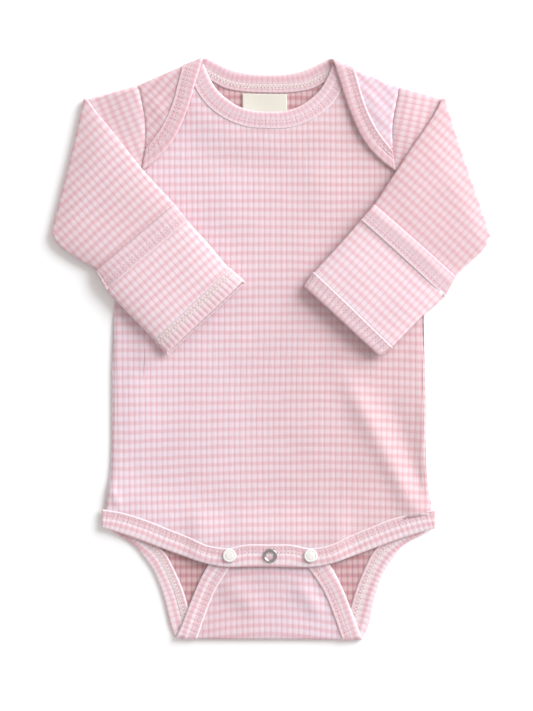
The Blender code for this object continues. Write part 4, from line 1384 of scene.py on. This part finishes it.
@dataclass
class Cuff:
    """The binding all round the end of a sleeve."""

    side_name: str
    shape: SleeveShape
    material: Material
    stitching: Stitching
    lines: tuple[float, float] = SEWN_ROWS
    slip: float = 0.0
    mid: float = 1.6
    profile: Profile = Profile(half=0.7, ridge=0.1, groove=0.14, rib_rise=0.34)
    thread_rise: float = 0.14
    thread_margin: float = 0.2

    def __post_init__(self) -> None:
        """Measures the end of the sleeve."""
        self.start, self.end = self.shape.row(CUFF_START), self.shape.row(CUFF_END)
        span = [float(np.linalg.norm(row[1] - row[0])) for row in (self.start, self.end)]
        run = self.end[0] + self.end[1] - self.start[0] - self.start[1]
        self.width, self.depth = sum(span) / 2, float(np.linalg.norm(run)) / 2
        self.straight = self.width - 2 * self.mid
        self.loop = 2 * self.straight + 2 * math.pi * self.mid
        self.ribs = round(self.loop / RIB_PITCH)

    def place(self, along: Array, across: Array, n: Array) -> Array:
        """Lays points of the tube: distances round it and down it, and heights in its wall."""
        straight, mid, bend = self.straight, self.mid, math.pi * self.mid
        at = [along < straight, along < straight + bend, along < 2 * straight + bend]
        angle = np.select(
            at, [0.0, (along - straight) / mid, math.pi],
            math.pi + (along - 2 * straight - bend) / mid,
        )  # fmt: skip
        far = self.width - mid
        w = np.select(at, [mid + along, far, far - (along - straight - bend)], mid)
        lift = (mid + n) * np.cos(angle)
        upper = smooth(0.5 + lift / mid)
        share = across / self.depth * (1.0 + self.slip * (1.0 - upper))
        v = (w + (mid + n) * np.sin(angle)) / self.width
        top = lerp(self.start[0], self.end[0], share[..., None])
        bottom = lerp(self.start[1], self.end[1], share[..., None])
        flat = top + (bottom - top) * v[..., None]
        under = lerp(
            lerp(self.start[2], self.end[2], share), lerp(self.start[3], self.end[3], share), v
        )
        z = under - LIFT + BAR + GAP + lift
        z = z + self.shape.puff(lerp(CUFF_START, CUFF_END, share), v) * upper
        return self.shape.to_side(np.concatenate([flat, z[..., None]], axis=-1))

    def build(self) -> Piece:
        """The dressed piece."""
        stations = np.linspace(0.0, self.loop, self.ribs * CELLS_A_RIB + 1)
        section = self.profile.section(self.depth)
        pattern_along = stations * (self.ribs * RIB_PITCH / self.loop)
        rise = self.profile.rib_rise * (1.0 - rib(pattern_along))[:, None] * section[None, :, 2]
        n = section[None, :, 1] - rise * (section[None, :, 1] > 0)
        down = section[:, 0] / section[:, 0].max() * self.depth
        along, across = np.meshgrid(stations, down, indexing="ij")
        laid = self.place(along, across, n)
        pattern = np.stack(
            np.broadcast_arrays(pattern_along[:, None], down[None] + BAND_SHIFT), axis=2
        )
        piece = Stand(
            f"cuff_trim_{self.side_name}", f"cuff_binding_{self.side_name}", "binding_knit",
            (self.material,), skin=Skin.TUBE,
        ).build(ClothGrid(laid, pattern))  # fmt: skip
        self.loop * MM
        return piece

    def sew(self, threads: Sequence[Material]) -> Piece:
        """The sewing of both its layers."""
        height = self.profile.half - self.profile.groove + self.thread_rise
        return Thread(
            f"cuff_sewing_{self.side_name}", self.place, self.loop, height,
            ((self.stitching, 1.0),), threads, self.lines, margin=self.thread_margin,
        ).build()  # fmt: skip


# ---------------------------------------------------------------- label and snaps


@dataclass
class Label:
    """The bare woven tape in the back neck."""

    material: Material
    left: float = -17.4
    right: float = 13.2
    bottom: float = 155.5
    top: float = 173.6
    thick: float = 0.7
    base: float = 1.35
    curl: Rows = ((0.12, 5.5, 9.0, 0.0), (0.08, math.inf, 3.1, 0.0))
    columns: int = 40
    rows: int = 24

    def build(self) -> Piece:
        """The dressed piece."""
        x = np.linspace(self.left, self.right, self.columns + 1)
        pattern = ruled(line_of(x, self.bottom), line_of(x, self.top), self.rows)
        flat = pattern.reshape(-1, 2)
        height = self.base + self.thick + waves(flat, self.curl)
        laid = stacked(flat, height).reshape(*pattern.shape[:2], 3)
        stand = Stand("neck_tape", "label", "label_tape", (self.material,), self.thick, Skin.SHEET)
        piece = stand.build(ClothGrid(laid, pattern))
        return piece


class SnapFace(Enum):
    """What shows of a snap: a closed cap or an open ring, as rows of radius and height."""

    CAP = (
        (0.0, 0.0), (4.1, 0.0), (4.5, 0.15), (4.6, 0.45), (4.5, 0.75), (4.2, 1.0), (3.9, 1.12),
        (3.6, 1.14), (3.4, 1.08), (3.25, 1.0), (3.1, 0.98), (2.9, 1.06), (2.6, 1.16), (2.0, 1.22),
        (1.0, 1.26), (0.0, 1.28),
    )  # fmt: skip
    RING = (
        (2.75, 0.1), (4.2, 0.0), (4.55, 0.15), (4.7, 0.4), (4.62, 0.7), (4.4, 0.95), (4.1, 1.05),
        (3.8, 0.98), (3.5, 0.75), (3.35, 0.62), (3.2, 0.66), (3.0, 0.64), (2.8, 0.45), (2.75, 0.1),
    )  # fmt: skip


@dataclass
class Snap:
    """One of the placket's press snaps."""

    side_name: str
    x: float
    face: SnapFace
    material: Material
    slot: str
    y: float = -139.2
    sides: int = 48

    def build(self) -> Piece:
        """The dressed piece."""
        profile = np.array(self.face.value)
        angle = np.linspace(0.0, 2 * math.pi, self.sides + 1)
        base = float(hem_under(np.array([self.x]))[0]) + BAR + GAP
        radius, high = profile[:, :1], np.broadcast_to(profile[:, 1:], (len(profile), len(angle)))
        laid = np.stack(
            [self.x + radius * np.cos(angle), self.y + radius * np.sin(angle), base + high], axis=2
        )
        pattern = np.stack(np.broadcast_arrays(angle[None], profile[:, :1]), axis=2)
        return Stand(
            f"press_snap_{self.side_name}", f"snap_{self.side_name}", self.slot,
            (self.material,), skin=Skin.TUBE,
        ).build(ClothGrid(laid, pattern, anchor=(self.x, self.y)))  # fmt: skip


# ---------------------------------------------------------------- finishes


@dataclass(frozen=True)
class Signal:
    """A value in a node tree. Plain arithmetic on it adds Math nodes."""

    bench: NodeBench
    socket: bpy.types.NodeSocket

    def math(self, operation: str, *others: object) -> Signal:
        """The result of a Math node that starts with this value."""
        node = self.bench.add("ShaderNodeMath", operation=operation)
        for socket, value in zip(node.inputs, (self, *others), strict=False):
            self.bench.feed(socket, value)
        return Signal(self.bench, node.outputs[0])

    def __add__(self, other: object) -> Signal:
        """The sum."""
        return self.math("ADD", other)

    def __sub__(self, other: object) -> Signal:
        """The difference."""
        return self.math("SUBTRACT", other)

    def __mul__(self, other: object) -> Signal:
        """The product."""
        return self.math("MULTIPLY", other)

    def __truediv__(self, other: object) -> Signal:
        """The quotient."""
        return self.math("DIVIDE", other)

    def __pow__(self, power: float) -> Signal:
        """The value to a power."""
        return self.math("POWER", power)

    def __abs__(self) -> Signal:
        """The value without its sign."""
        return self.math("ABSOLUTE")

    def from_middle(self) -> Signal:
        """The value's fraction, less a half: -0.5 to 0.5 over each unit."""
        return self.math("FRACT") - 0.5

    def most(self, other: object) -> Signal:
        """The greater of two values."""
        return self.math("MAXIMUM", other)

    def step(self, low: float, high: float) -> Signal:
        """0 under low, 1 over high, eased between."""
        node = self.bench.add("ShaderNodeMapRange", interpolation_type="SMOOTHSTEP")
        for name, value in (("Value", self), ("From Min", low), ("From Max", high)):
            self.bench.feed(node.inputs[name], value)
        return Signal(self.bench, node.outputs["Result"])

    def under(self, low: float, high: float) -> Signal:
        """1 under low, 0 over high, eased between."""
        return self.step(low, high) * -1.0 + 1.0


class NodeBench:
    """Makes and wires the nodes of one tree."""

    def __init__(self, tree: bpy.types.NodeTree) -> None:
        """Keeps the tree."""
        self.tree = tree

    def add(self, kind: str, **settings: object) -> bpy.types.Node:
        """A new node with these settings."""
        node = self.tree.nodes.new(kind)
        for key, value in settings.items():
            setattr(node, key, value)
        return node

    def feed(self, socket: bpy.types.NodeSocket, value: object) -> None:
        """Wires a socket to a signal, or sets it."""
        if isinstance(value, Signal):
            self.tree.links.new(value.socket, socket)
        else:
            socket.default_value = value

    def fill(self, node: bpy.types.Node, values: dict[str, object]) -> None:
        """Wires or sets several of a node's inputs."""
        for name, value in values.items():
            self.feed(node.inputs[name], value)

    def outputs(self, node: bpy.types.Node) -> dict[str, Signal]:
        """A node's outputs by their names."""
        return {socket.name: Signal(self, socket) for socket in node.outputs}

    def cloth(self) -> Signal:
        """The place in the pattern, in millimetres."""
        return Signal(self, self.add("ShaderNodeUVMap", uv_map="Cloth").outputs[0])

    def place(self) -> Signal:
        """The place in the frame, in metres."""
        return Signal(self, self.add("ShaderNodeTexCoord").outputs["Object"])

    def axes(self, vector: Signal) -> list[Signal]:
        """A vector's three parts."""
        node = self.add("ShaderNodeSeparateXYZ")
        self.feed(node.inputs[0], vector)
        return [Signal(self, socket) for socket in node.outputs]

    def blend(self, share: object, a: object, b: object, how: str = "MIX") -> Signal:
        """Two colours mixed."""
        node = self.add("ShaderNodeMix", data_type="RGBA", blend_type=how)
        values = {"Factor_Float": share, "A_Color": a, "B_Color": b}
        for socket in node.inputs:
            if socket.identifier in values:
                self.feed(socket, values[socket.identifier])
        return Signal(self, next(s for s in node.outputs if s.identifier == "Result_Color"))

    def grey(self, level: Signal) -> Signal:
        """A value as a colour."""
        node = self.add("ShaderNodeCombineColor")
        self.fill(node, {"Red": level, "Green": level, "Blue": level})
        return Signal(self, node.outputs[0])

    def noise(self, vector: Signal, scale: float, detail: float = 2.0) -> Signal:
        """Smooth noise from 0 to 1."""
        node = self.add("ShaderNodeTexNoise")
        self.fill(node, {"Vector": vector, "Scale": scale, "Detail": detail})
        return Signal(self, node.outputs["Fac"])

    def bump(self, height: Signal, strength: float, distance: float) -> Signal:
        """Normals from a height."""
        node = self.add("ShaderNodeBump")
        self.fill(node, {"Strength": strength, "Distance": distance, "Height": height})
        return Signal(self, node.outputs[0])


# Where the knit's parts ease in, in shares of a pitch or in millimetres, and how strong they are
# The valley's ease marks the painted shade in the rib valleys.
VALLEY_SHADE, BAND = (0.24, 0.47), (0.12, 0.42)
WALE, LOOP, LOOP_EDGE = (0.3, 0.5), (0.0, 0.5), (0.35, 0.5)
# A binding's folded inner edge is painted lighter: a painted highlight.
LIP_HIGHLIGHT, LIP_HIGHLIGHT_SHARE, SEWN_PART = (-2.1, -1.8), 0.5, (2.0, 2.9)
EDGE_ROW, EDGE_ROW_EASE, EDGE_ROW_SHARE = -1.5, (0.15, 0.45), 0.8
# Each needle hole is painted dark: painted shade.
ROW, ROW_SHARE, HOLE_SHADE, HOLE_SHADE_SHARE = (0.2, 0.75), 0.75, (0.15, 0.5), 0.55
WANDER_SCALE, PATCH_SCALE, FUZZ_SCALE = 55.0, 38.0, 2400.0  # a metre
STRIPE_WANDER, LOOP_LEAN, WALES_A_RIB = 0.25, 0.9, 4
# The valley colours are painted shade in the rib valleys, and the left and right tints are painted
# light and shade across x.
KNIT_COLOURS = ("White crest", "White valley", "Pink crest", "Pink valley", "Left", "Right")
KNIT_VALUES = ("First row", "Second row", "Sewn share")
# The colour of the painted highlight on a binding's folded edge.
LIP_HIGHLIGHT_COLOUR = (0.95, 0.81, 0.84, 1.0)
# The colour of the painted shade in each needle hole.
HOLE_SHADE_COLOUR = (0.55, 0.2, 0.23, 1.0)
OFF_CLOTH = (-900.0, -900.0)  # rows that lie off the cloth
COURSE = 0.78  # height of a stitch
# Over this spread the painted light's tint goes from the left one to the right one.
PAINTED_LIGHT_SPREAD = 0.13  # m to either side


def knit_group() -> bpy.types.NodeTree:
    """The ribbed, striped knit: colour, with painted light and shade, and the height of its
    stitches in millimetres.
    """
    tree = bpy.data.node_groups.get("rib knit")
    if tree:
        return tree
    tree = bpy.data.node_groups.new("rib knit", "ShaderNodeTree")
    for way, kind, names in (
        ("INPUT", "NodeSocketColor", KNIT_COLOURS), ("INPUT", "NodeSocketFloat", KNIT_VALUES),
        ("INPUT", "NodeSocketVector", ("Cloth", "Place")),
        ("OUTPUT", "NodeSocketColor", ("Color",)), ("OUTPUT", "NodeSocketFloat", ("Height",)),
    ):  # fmt: skip
        for name in names:
            tree.interface.new_socket(name, in_out=way, socket_type=kind)
    bench = NodeBench(tree)
    given, result = bench.outputs(bench.add("NodeGroupInput")), bench.add("NodeGroupOutput")
    place = given["Place"]
    u, v, _ = bench.axes(given["Cloth"])
    wander = bench.noise(place, WANDER_SCALE) - 0.5
    # Ribs across, with painted shade in their valleys; bands along
    valley = abs((u / RIB_PITCH).from_middle()).step(*VALLEY_SHADE)
    pink = abs((v / STRIPE_PITCH + wander * STRIPE_WANDER).from_middle()).step(*BAND)
    pink = pink * (bench.noise(place, PATCH_SCALE, 1.0) * 0.5 + 0.72)
    # The edge's lip, painted as a highlight; the sewn part; and its drawn-in rows, with painted
    # shade in each needle hole between the stitches
    inside = v - given["First row"]
    lip_highlight = inside.under(*LIP_HIGHLIGHT)
    pink = pink.most(inside.under(*SEWN_PART) * given["Sewn share"])
    pink = pink.most(abs(inside - EDGE_ROW).under(*EDGE_ROW_EASE) * EDGE_ROW_SHARE)
    from_hole = ((u / STITCH_PITCH).from_middle() * STITCH_PITCH) ** 2.0
    hole_shades = []
    for name in ("First row", "Second row"):
        off = abs(v - given[name])
        pink = pink.most(off.under(*ROW) * ROW_SHARE)
        hole_shades.append((off**2.0 + from_hole).math("SQRT").under(*HOLE_SHADE))
    # Stitches: columns of small Vs, painted darker between the wales and at the loops' edges as
    # painted shade
    wale = abs((u * (WALES_A_RIB / RIB_PITCH)).from_middle())
    loop = abs((v / COURSE + wale * LOOP_LEAN).from_middle())
    between = wale.step(*WALE)
    fuzz = bench.noise(place, FUZZ_SCALE, 3.0)
    crest, low = (
        bench.blend(pink, given[f"White {part}"], given[f"Pink {part}"])
        for part in ("crest", "valley")
    )
    # The valleys are painted darker than the crests: painted shade.
    colour = bench.blend(valley, crest, low)
    # Painted highlight along a binding's folded edge.
    colour = bench.blend(lip_highlight * LIP_HIGHLIGHT_SHARE, colour, LIP_HIGHLIGHT_COLOUR)
    # Painted shade in each needle hole between the stitches.
    colour = bench.blend(hole_shades[0].most(hole_shades[1]) * HOLE_SHADE_SHARE, colour, HOLE_SHADE_COLOUR)
    # Painted light and shade across x, from the left tint to the right one.
    lit_side_share = bench.axes(place)[0].step(-PAINTED_LIGHT_SPREAD, PAINTED_LIGHT_SPREAD)
    painted_light_tint = bench.blend(lit_side_share, given["Left"], given["Right"])
    colour = bench.blend(1.0, colour, painted_light_tint, "MULTIPLY")
    # Painted shade between the wales and at the loops' edges; the fuzz and the wander give random
    # tone.
    shade = between * -0.07 + 0.905 + loop.step(*LOOP_EDGE) * -0.07
    shade = shade + (fuzz - 0.5) * 0.12 + wander * 0.08
    height = loop.step(*LOOP) * -0.06 + between * -0.09 + fuzz * 0.04
    colour = bench.blend(1.0, colour, bench.grey(shade), "MULTIPLY")
    bench.fill(result, {"Color": colour, "Height": height})
    return tree


def new_material(name: str) -> tuple[Material, NodeBench, bpy.types.Node]:
    """A material, with its bench and its shader."""
    material = bpy.data.materials.new(name)
    material.use_nodes = True
    tree = material.node_tree
    return material, NodeBench(tree), tree.nodes["Principled BSDF"]


def scaled(colour: Colour, share: float = 1.0) -> tuple[float, ...]:
    """A colour made duller, with its alpha."""
    return (*(share * c for c in colour), 1.0)


@dataclass(frozen=True)
class Knit:
    """Soft cotton rib in pink and white bands."""

    name: str
    white: Colour = (0.882, 0.69, 0.735)
    # The valley colours are darker than the crests: painted shade in the rib valleys.
    white_valley_shade: Colour = (0.84, 0.565, 0.61)
    pink: Colour = (0.833, 0.54, 0.585)
    pink_valley_shade: Colour = (0.80, 0.45, 0.49)
    rows: tuple[float, float] = OFF_CLOTH
    sewn: float = 0.0
    # Tints for the left and the right of the frame, blended across x: painted light and shade.
    left: Colour = (1.0, 1.0, 1.0)
    right: Colour = (1.0, 1.0, 1.0)
    roughness: float = 0.92
    glow: float = 0.3
    glow_depth: float = 3.0
    sheen: float = 0.1

    def material(self) -> Material:
        """The material."""
        material, bench, shader = new_material(self.name)
        knit = bench.add("ShaderNodeGroup", node_tree=knit_group())
        colours = (
            self.white, self.white_valley_shade, self.pink, self.pink_valley_shade, self.left, self.right,
        )  # fmt: skip
        bench.fill(knit, {"Cloth": bench.cloth(), "Place": bench.place()})
        bench.fill(knit, {k: scaled(c) for k, c in zip(KNIT_COLOURS, colours, strict=True)})
        bench.fill(knit, dict(zip(KNIT_VALUES, (*self.rows, self.sewn), strict=True)))
        made = bench.outputs(knit)
        bench.fill(shader, {
            "Base Color": made["Color"], "Normal": bench.bump(made["Height"], 1.0, MM),
            "Roughness": self.roughness, "Subsurface Weight": self.glow,
            "Subsurface Radius": (1.0, 0.45, 0.4), "Subsurface Scale": self.glow_depth * MM,
            "Sheen Weight": self.sheen, "Sheen Roughness": 0.5,
        })  # fmt: skip
        return material


@dataclass(frozen=True)
class Cotton:
    """Pale sewing thread."""

    name: str
    colour: Colour
    dull: float = 0.88
    fuzz_scale: float = 1500.0
    roughness: float = 0.75

    def material(self) -> Material:
        """The material."""
        material, bench, shader = new_material(self.name)
        fuzz = bench.noise(bench.place(), self.fuzz_scale).step(0.3, 0.7)
        colour = bench.blend(fuzz, scaled(self.colour, self.dull), scaled(self.colour))
        bench.fill(shader, {"Base Color": colour, "Roughness": self.roughness})
        return material


@dataclass(frozen=True)
class Tape:
    """Cream woven satin tape."""

    name: str = "label tape"
    colour: Colour = (0.715, 0.675, 0.59)
    dull: float = 0.93
    warp: float = 14.0  # radians a millimetre
    weft: float = 9.0
    relief: float = 0.05
    roughness: float = 0.62

    def material(self) -> Material:
        """The material."""
        material, bench, shader = new_material(self.name)
        x, y, _ = bench.axes(bench.cloth())
        weave = (x * self.warp).math("SINE") * (y * self.weft).math("SINE")
        shade = bench.noise(bench.cloth(), 0.3) * 0.5 + 0.25
        bench.fill(shader, {
            "Base Color": bench.blend(shade, scaled(self.colour, self.dull), scaled(self.colour)),
            "Normal": bench.bump(weave, 0.6, self.relief * MM), "Roughness": self.roughness,
        })  # fmt: skip
        return material


@dataclass(frozen=True)
class SnapMetal:
    """The pressed face of a snap: enamelled or bare."""

    name: str
    colour: Colour
    metallic: float
    roughness: float
    uneven: float = 0.18  # of the roughness
    dull: float = 0.86
    wear_scale: float = 900.0

    def material(self) -> Material:
        """The material."""
        material, bench, shader = new_material(self.name)
        wear = bench.noise(bench.place(), self.wear_scale, 4.0)
        worn = wear.step(0.35, 0.65)
        worn = bench.blend(worn, scaled(self.colour, self.dull), scaled(self.colour))
        rough = wear * self.uneven + (self.roughness - self.uneven / 2)
        bench.fill(shader, {"Base Color": worn, "Roughness": rough, "Metallic": self.metallic})
        return material


def finishes() -> dict[str, Material]:
    """The garment's materials, by where they are used."""
    rows = (BAND_SHIFT + SEWN_ROWS[0], BAND_SHIFT + SEWN_ROWS[1])
    near_edge = (BAND_SHIFT + LADDER_ROWS[0], BAND_SHIFT + LADDER_ROWS[1])
    plain = Knit(
        "binding knit plain", (0.895, 0.71, 0.755), (0.855, 0.615, 0.665), (0.845, 0.585, 0.64),
        (0.80, 0.505, 0.555), rows, 0.1,
    )  # fmt: skip
    ribbed = Knit(
        "binding knit ribbed", (0.885, 0.70, 0.74), (0.83, 0.57, 0.62), (0.855, 0.61, 0.655),
        (0.80, 0.50, 0.55), rows, 0.1,
    )  # fmt: skip
    made = {
        # The left and right tints are painted light and shade: the body lighter at the left and
        # shaded at the right, the back's outer side shaded at the left and lighter at the right,
        # the sleeves lighter at the left, and the mittens lighter all over.
        "body": Knit("rib knit", left=(1.07, 1.11, 1.14), right=(0.97, 0.95, 0.93)),
        "back": Knit("rib knit outside", left=(0.94, 0.90, 0.89), right=(1.06, 1.13, 1.18)),
        "sleeve": Knit("rib knit sleeve", left=(1.04, 1.05, 1.05), right=(0.98, 0.955, 0.95)),
        "mitten": Knit("rib knit mitten", left=(1.10, 1.12, 1.12), right=(1.11, 1.13, 1.14)),
        # The hem and leg bindings are painted lighter at the left.
        "banded": Knit(
            "binding knit", (0.92, 0.775, 0.81), (0.875, 0.67, 0.715), (0.835, 0.545, 0.59),
            (0.80, 0.48, 0.525), rows, 0.5, left=(1.06, 1.07, 1.08),
        ),
        "plain": plain,
        # A darker copy of the plain binding: painted shade on the back's neck binding.
        "back neck": replace(
            plain, name="binding knit back shaded", left=(0.94, 0.90, 0.90), right=(0.95, 0.90, 0.90)
        ),
        "cuff left": replace(ribbed, name="binding knit cuff", rows=near_edge),
        "cuff right": ribbed,
        # The back's inner side: darker and warmer for the knit's reverse, and as painted shade
        # where it lies under the front, as in the neck and leg openings.
        "reverse": Knit(
            "rib knit reverse", (0.76, 0.52, 0.54), (0.64, 0.37, 0.39), (0.65, 0.34, 0.365),
            (0.53, 0.25, 0.27),
        ),
        "needle": Cotton("needle thread", (0.86, 0.745, 0.755)),
        "looper": Cotton("looper thread", (0.92, 0.86, 0.82)),
        "tape": Tape(),
        "white snap": SnapMetal("snap white", (0.85, 0.83, 0.79), 0.0, 0.45),
        "steel snap": SnapMetal("snap metal", (0.46, 0.44, 0.42), 1.0, 0.3),
    }  # fmt: skip
    return {use: finish.material() for use, finish in made.items()}


# ---------------------------------------------------------------- the setting


@dataclass
class Studio:
    """A pale floor, a camera straight above and soft light from the upper right."""

    view_height: float = 0.4835
    lens: float = 100.0
    sensor: float = 36.0
    look_at: tuple[float, float] = (-0.00359, -0.00465)
    floor_size: float = 6.0
    floor_height: float = -0.0002
    key_at: tuple[float, float, float] = (2.3, 1.7, 1.35)
    key_power: float = 160.0
    key_size: float = 2.7
    key_colour: Colour = (1.0, 1.05, 1.085)
    sky_colour: Colour = (1.0, 0.955, 0.935)
    sky_strength: float = 0.64

    def build_floor(self) -> None:
        """The surface that the garment lies on."""
        bm = bmesh.new()
        bmesh.ops.create_grid(bm, x_segments=2, y_segments=2, size=self.floor_size / 2)
        bmesh.ops.translate(bm, verts=bm.verts, vec=(0.0, 0.0, self.floor_height))
        material, bench, shader = new_material("floor")
        bench.fill(shader, {"Base Color": (0.97, 0.97, 0.97, 1.0), "Roughness": 0.9})
        make_object("floor", bm, [material])

    def build_camera(self) -> None:
        """The camera, whose view is as high as view_height at the floor."""
        data = bpy.data.cameras.new("camera")
        data.lens, data.sensor_width = self.lens, self.sensor
        data.clip_start, data.clip_end = 0.05, 20.0
        camera = bpy.data.objects.new("camera", data)
        camera.location = (*self.look_at, self.view_height * self.lens / self.sensor)
        bpy.context.scene.collection.objects.link(camera)
        bpy.context.scene.camera = camera

    def build_light(self) -> None:
        """One large soft light over a bright surround."""
        data = bpy.data.lights.new("key", "AREA")
        data.shape, data.size, data.energy = "DISK", self.key_size, self.key_power
        data.color = self.key_colour
        light = bpy.data.objects.new("key", data)
        light.location = self.key_at
        light.rotation_euler = (-Vector(self.key_at)).to_track_quat("-Z", "Y").to_euler()
        bpy.context.scene.collection.objects.link(light)
        world = bpy.data.worlds.new("surround")
        world.use_nodes = True
        sky = world.node_tree.nodes["Background"]
        sky.inputs["Color"].default_value = (*self.sky_colour, 1.0)
        sky.inputs["Strength"].default_value = self.sky_strength
        bpy.context.scene.world = world
        bpy.context.scene.view_settings.view_transform = "Standard"


def main() -> None:
    """Builds the pieces in order."""
    logging.basicConfig(level=logging.INFO, format="%(name)s: %(message)s")
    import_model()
    studio = Studio()
    studio.build_floor()
    studio.build_camera()
    studio.build_light()
    finish = finishes()
    threads = (finish["needle"], finish["looper"])
    pieces = [
        BackPanel(finish["back"], finish["reverse"]).build(), FrontPanel(finish["body"]).build(),
    ]  # fmt: skip
    for binding in body_bindings(finish["back neck"], finish["plain"], finish["banded"]):
        pieces += [binding.build(), binding.sew(threads)]
    for side_name, side, forearm, *sewn in (
        ("left", -1.0, FOREARM_LEFT, Stitching.LADDER, LADDER_ROWS, 0.13),
        ("right", 1.0, FOREARM_RIGHT, Stitching.ROWS, SEWN_ROWS, 0.0),
    ):
        shape = SleeveShape(side, forearm)
        mitten = Mitten(side_name, shape, finish["mitten"], finish["plain"])
        cuff = Cuff(side_name, shape, finish[f"cuff {side_name}"], *sewn)
        pieces += [
            Sleeve(side_name, shape, finish["sleeve"]).build(), mitten.build_flap(),
            cuff.build(), cuff.sew(threads), mitten.band().build(), mitten.band().sew(threads),
        ]  # fmt: skip
    pieces.append(Label(finish["tape"]).build())
    for side_name, x, face, metal, slot in (
        ("left", -27.1, SnapFace.CAP, "white snap", "snap_white"),
        ("centre", 1.1, SnapFace.RING, "steel snap", "snap_metal"),
        ("right", 28.7, SnapFace.CAP, "white snap", "snap_white"),
    ):
        pieces.append(Snap(side_name, x, face, finish[metal], slot).build())
    for piece in pieces:
        log.info("%s: %d faces", piece.name, len(piece.data.polygons))


if __name__ == "__main__":
    main()
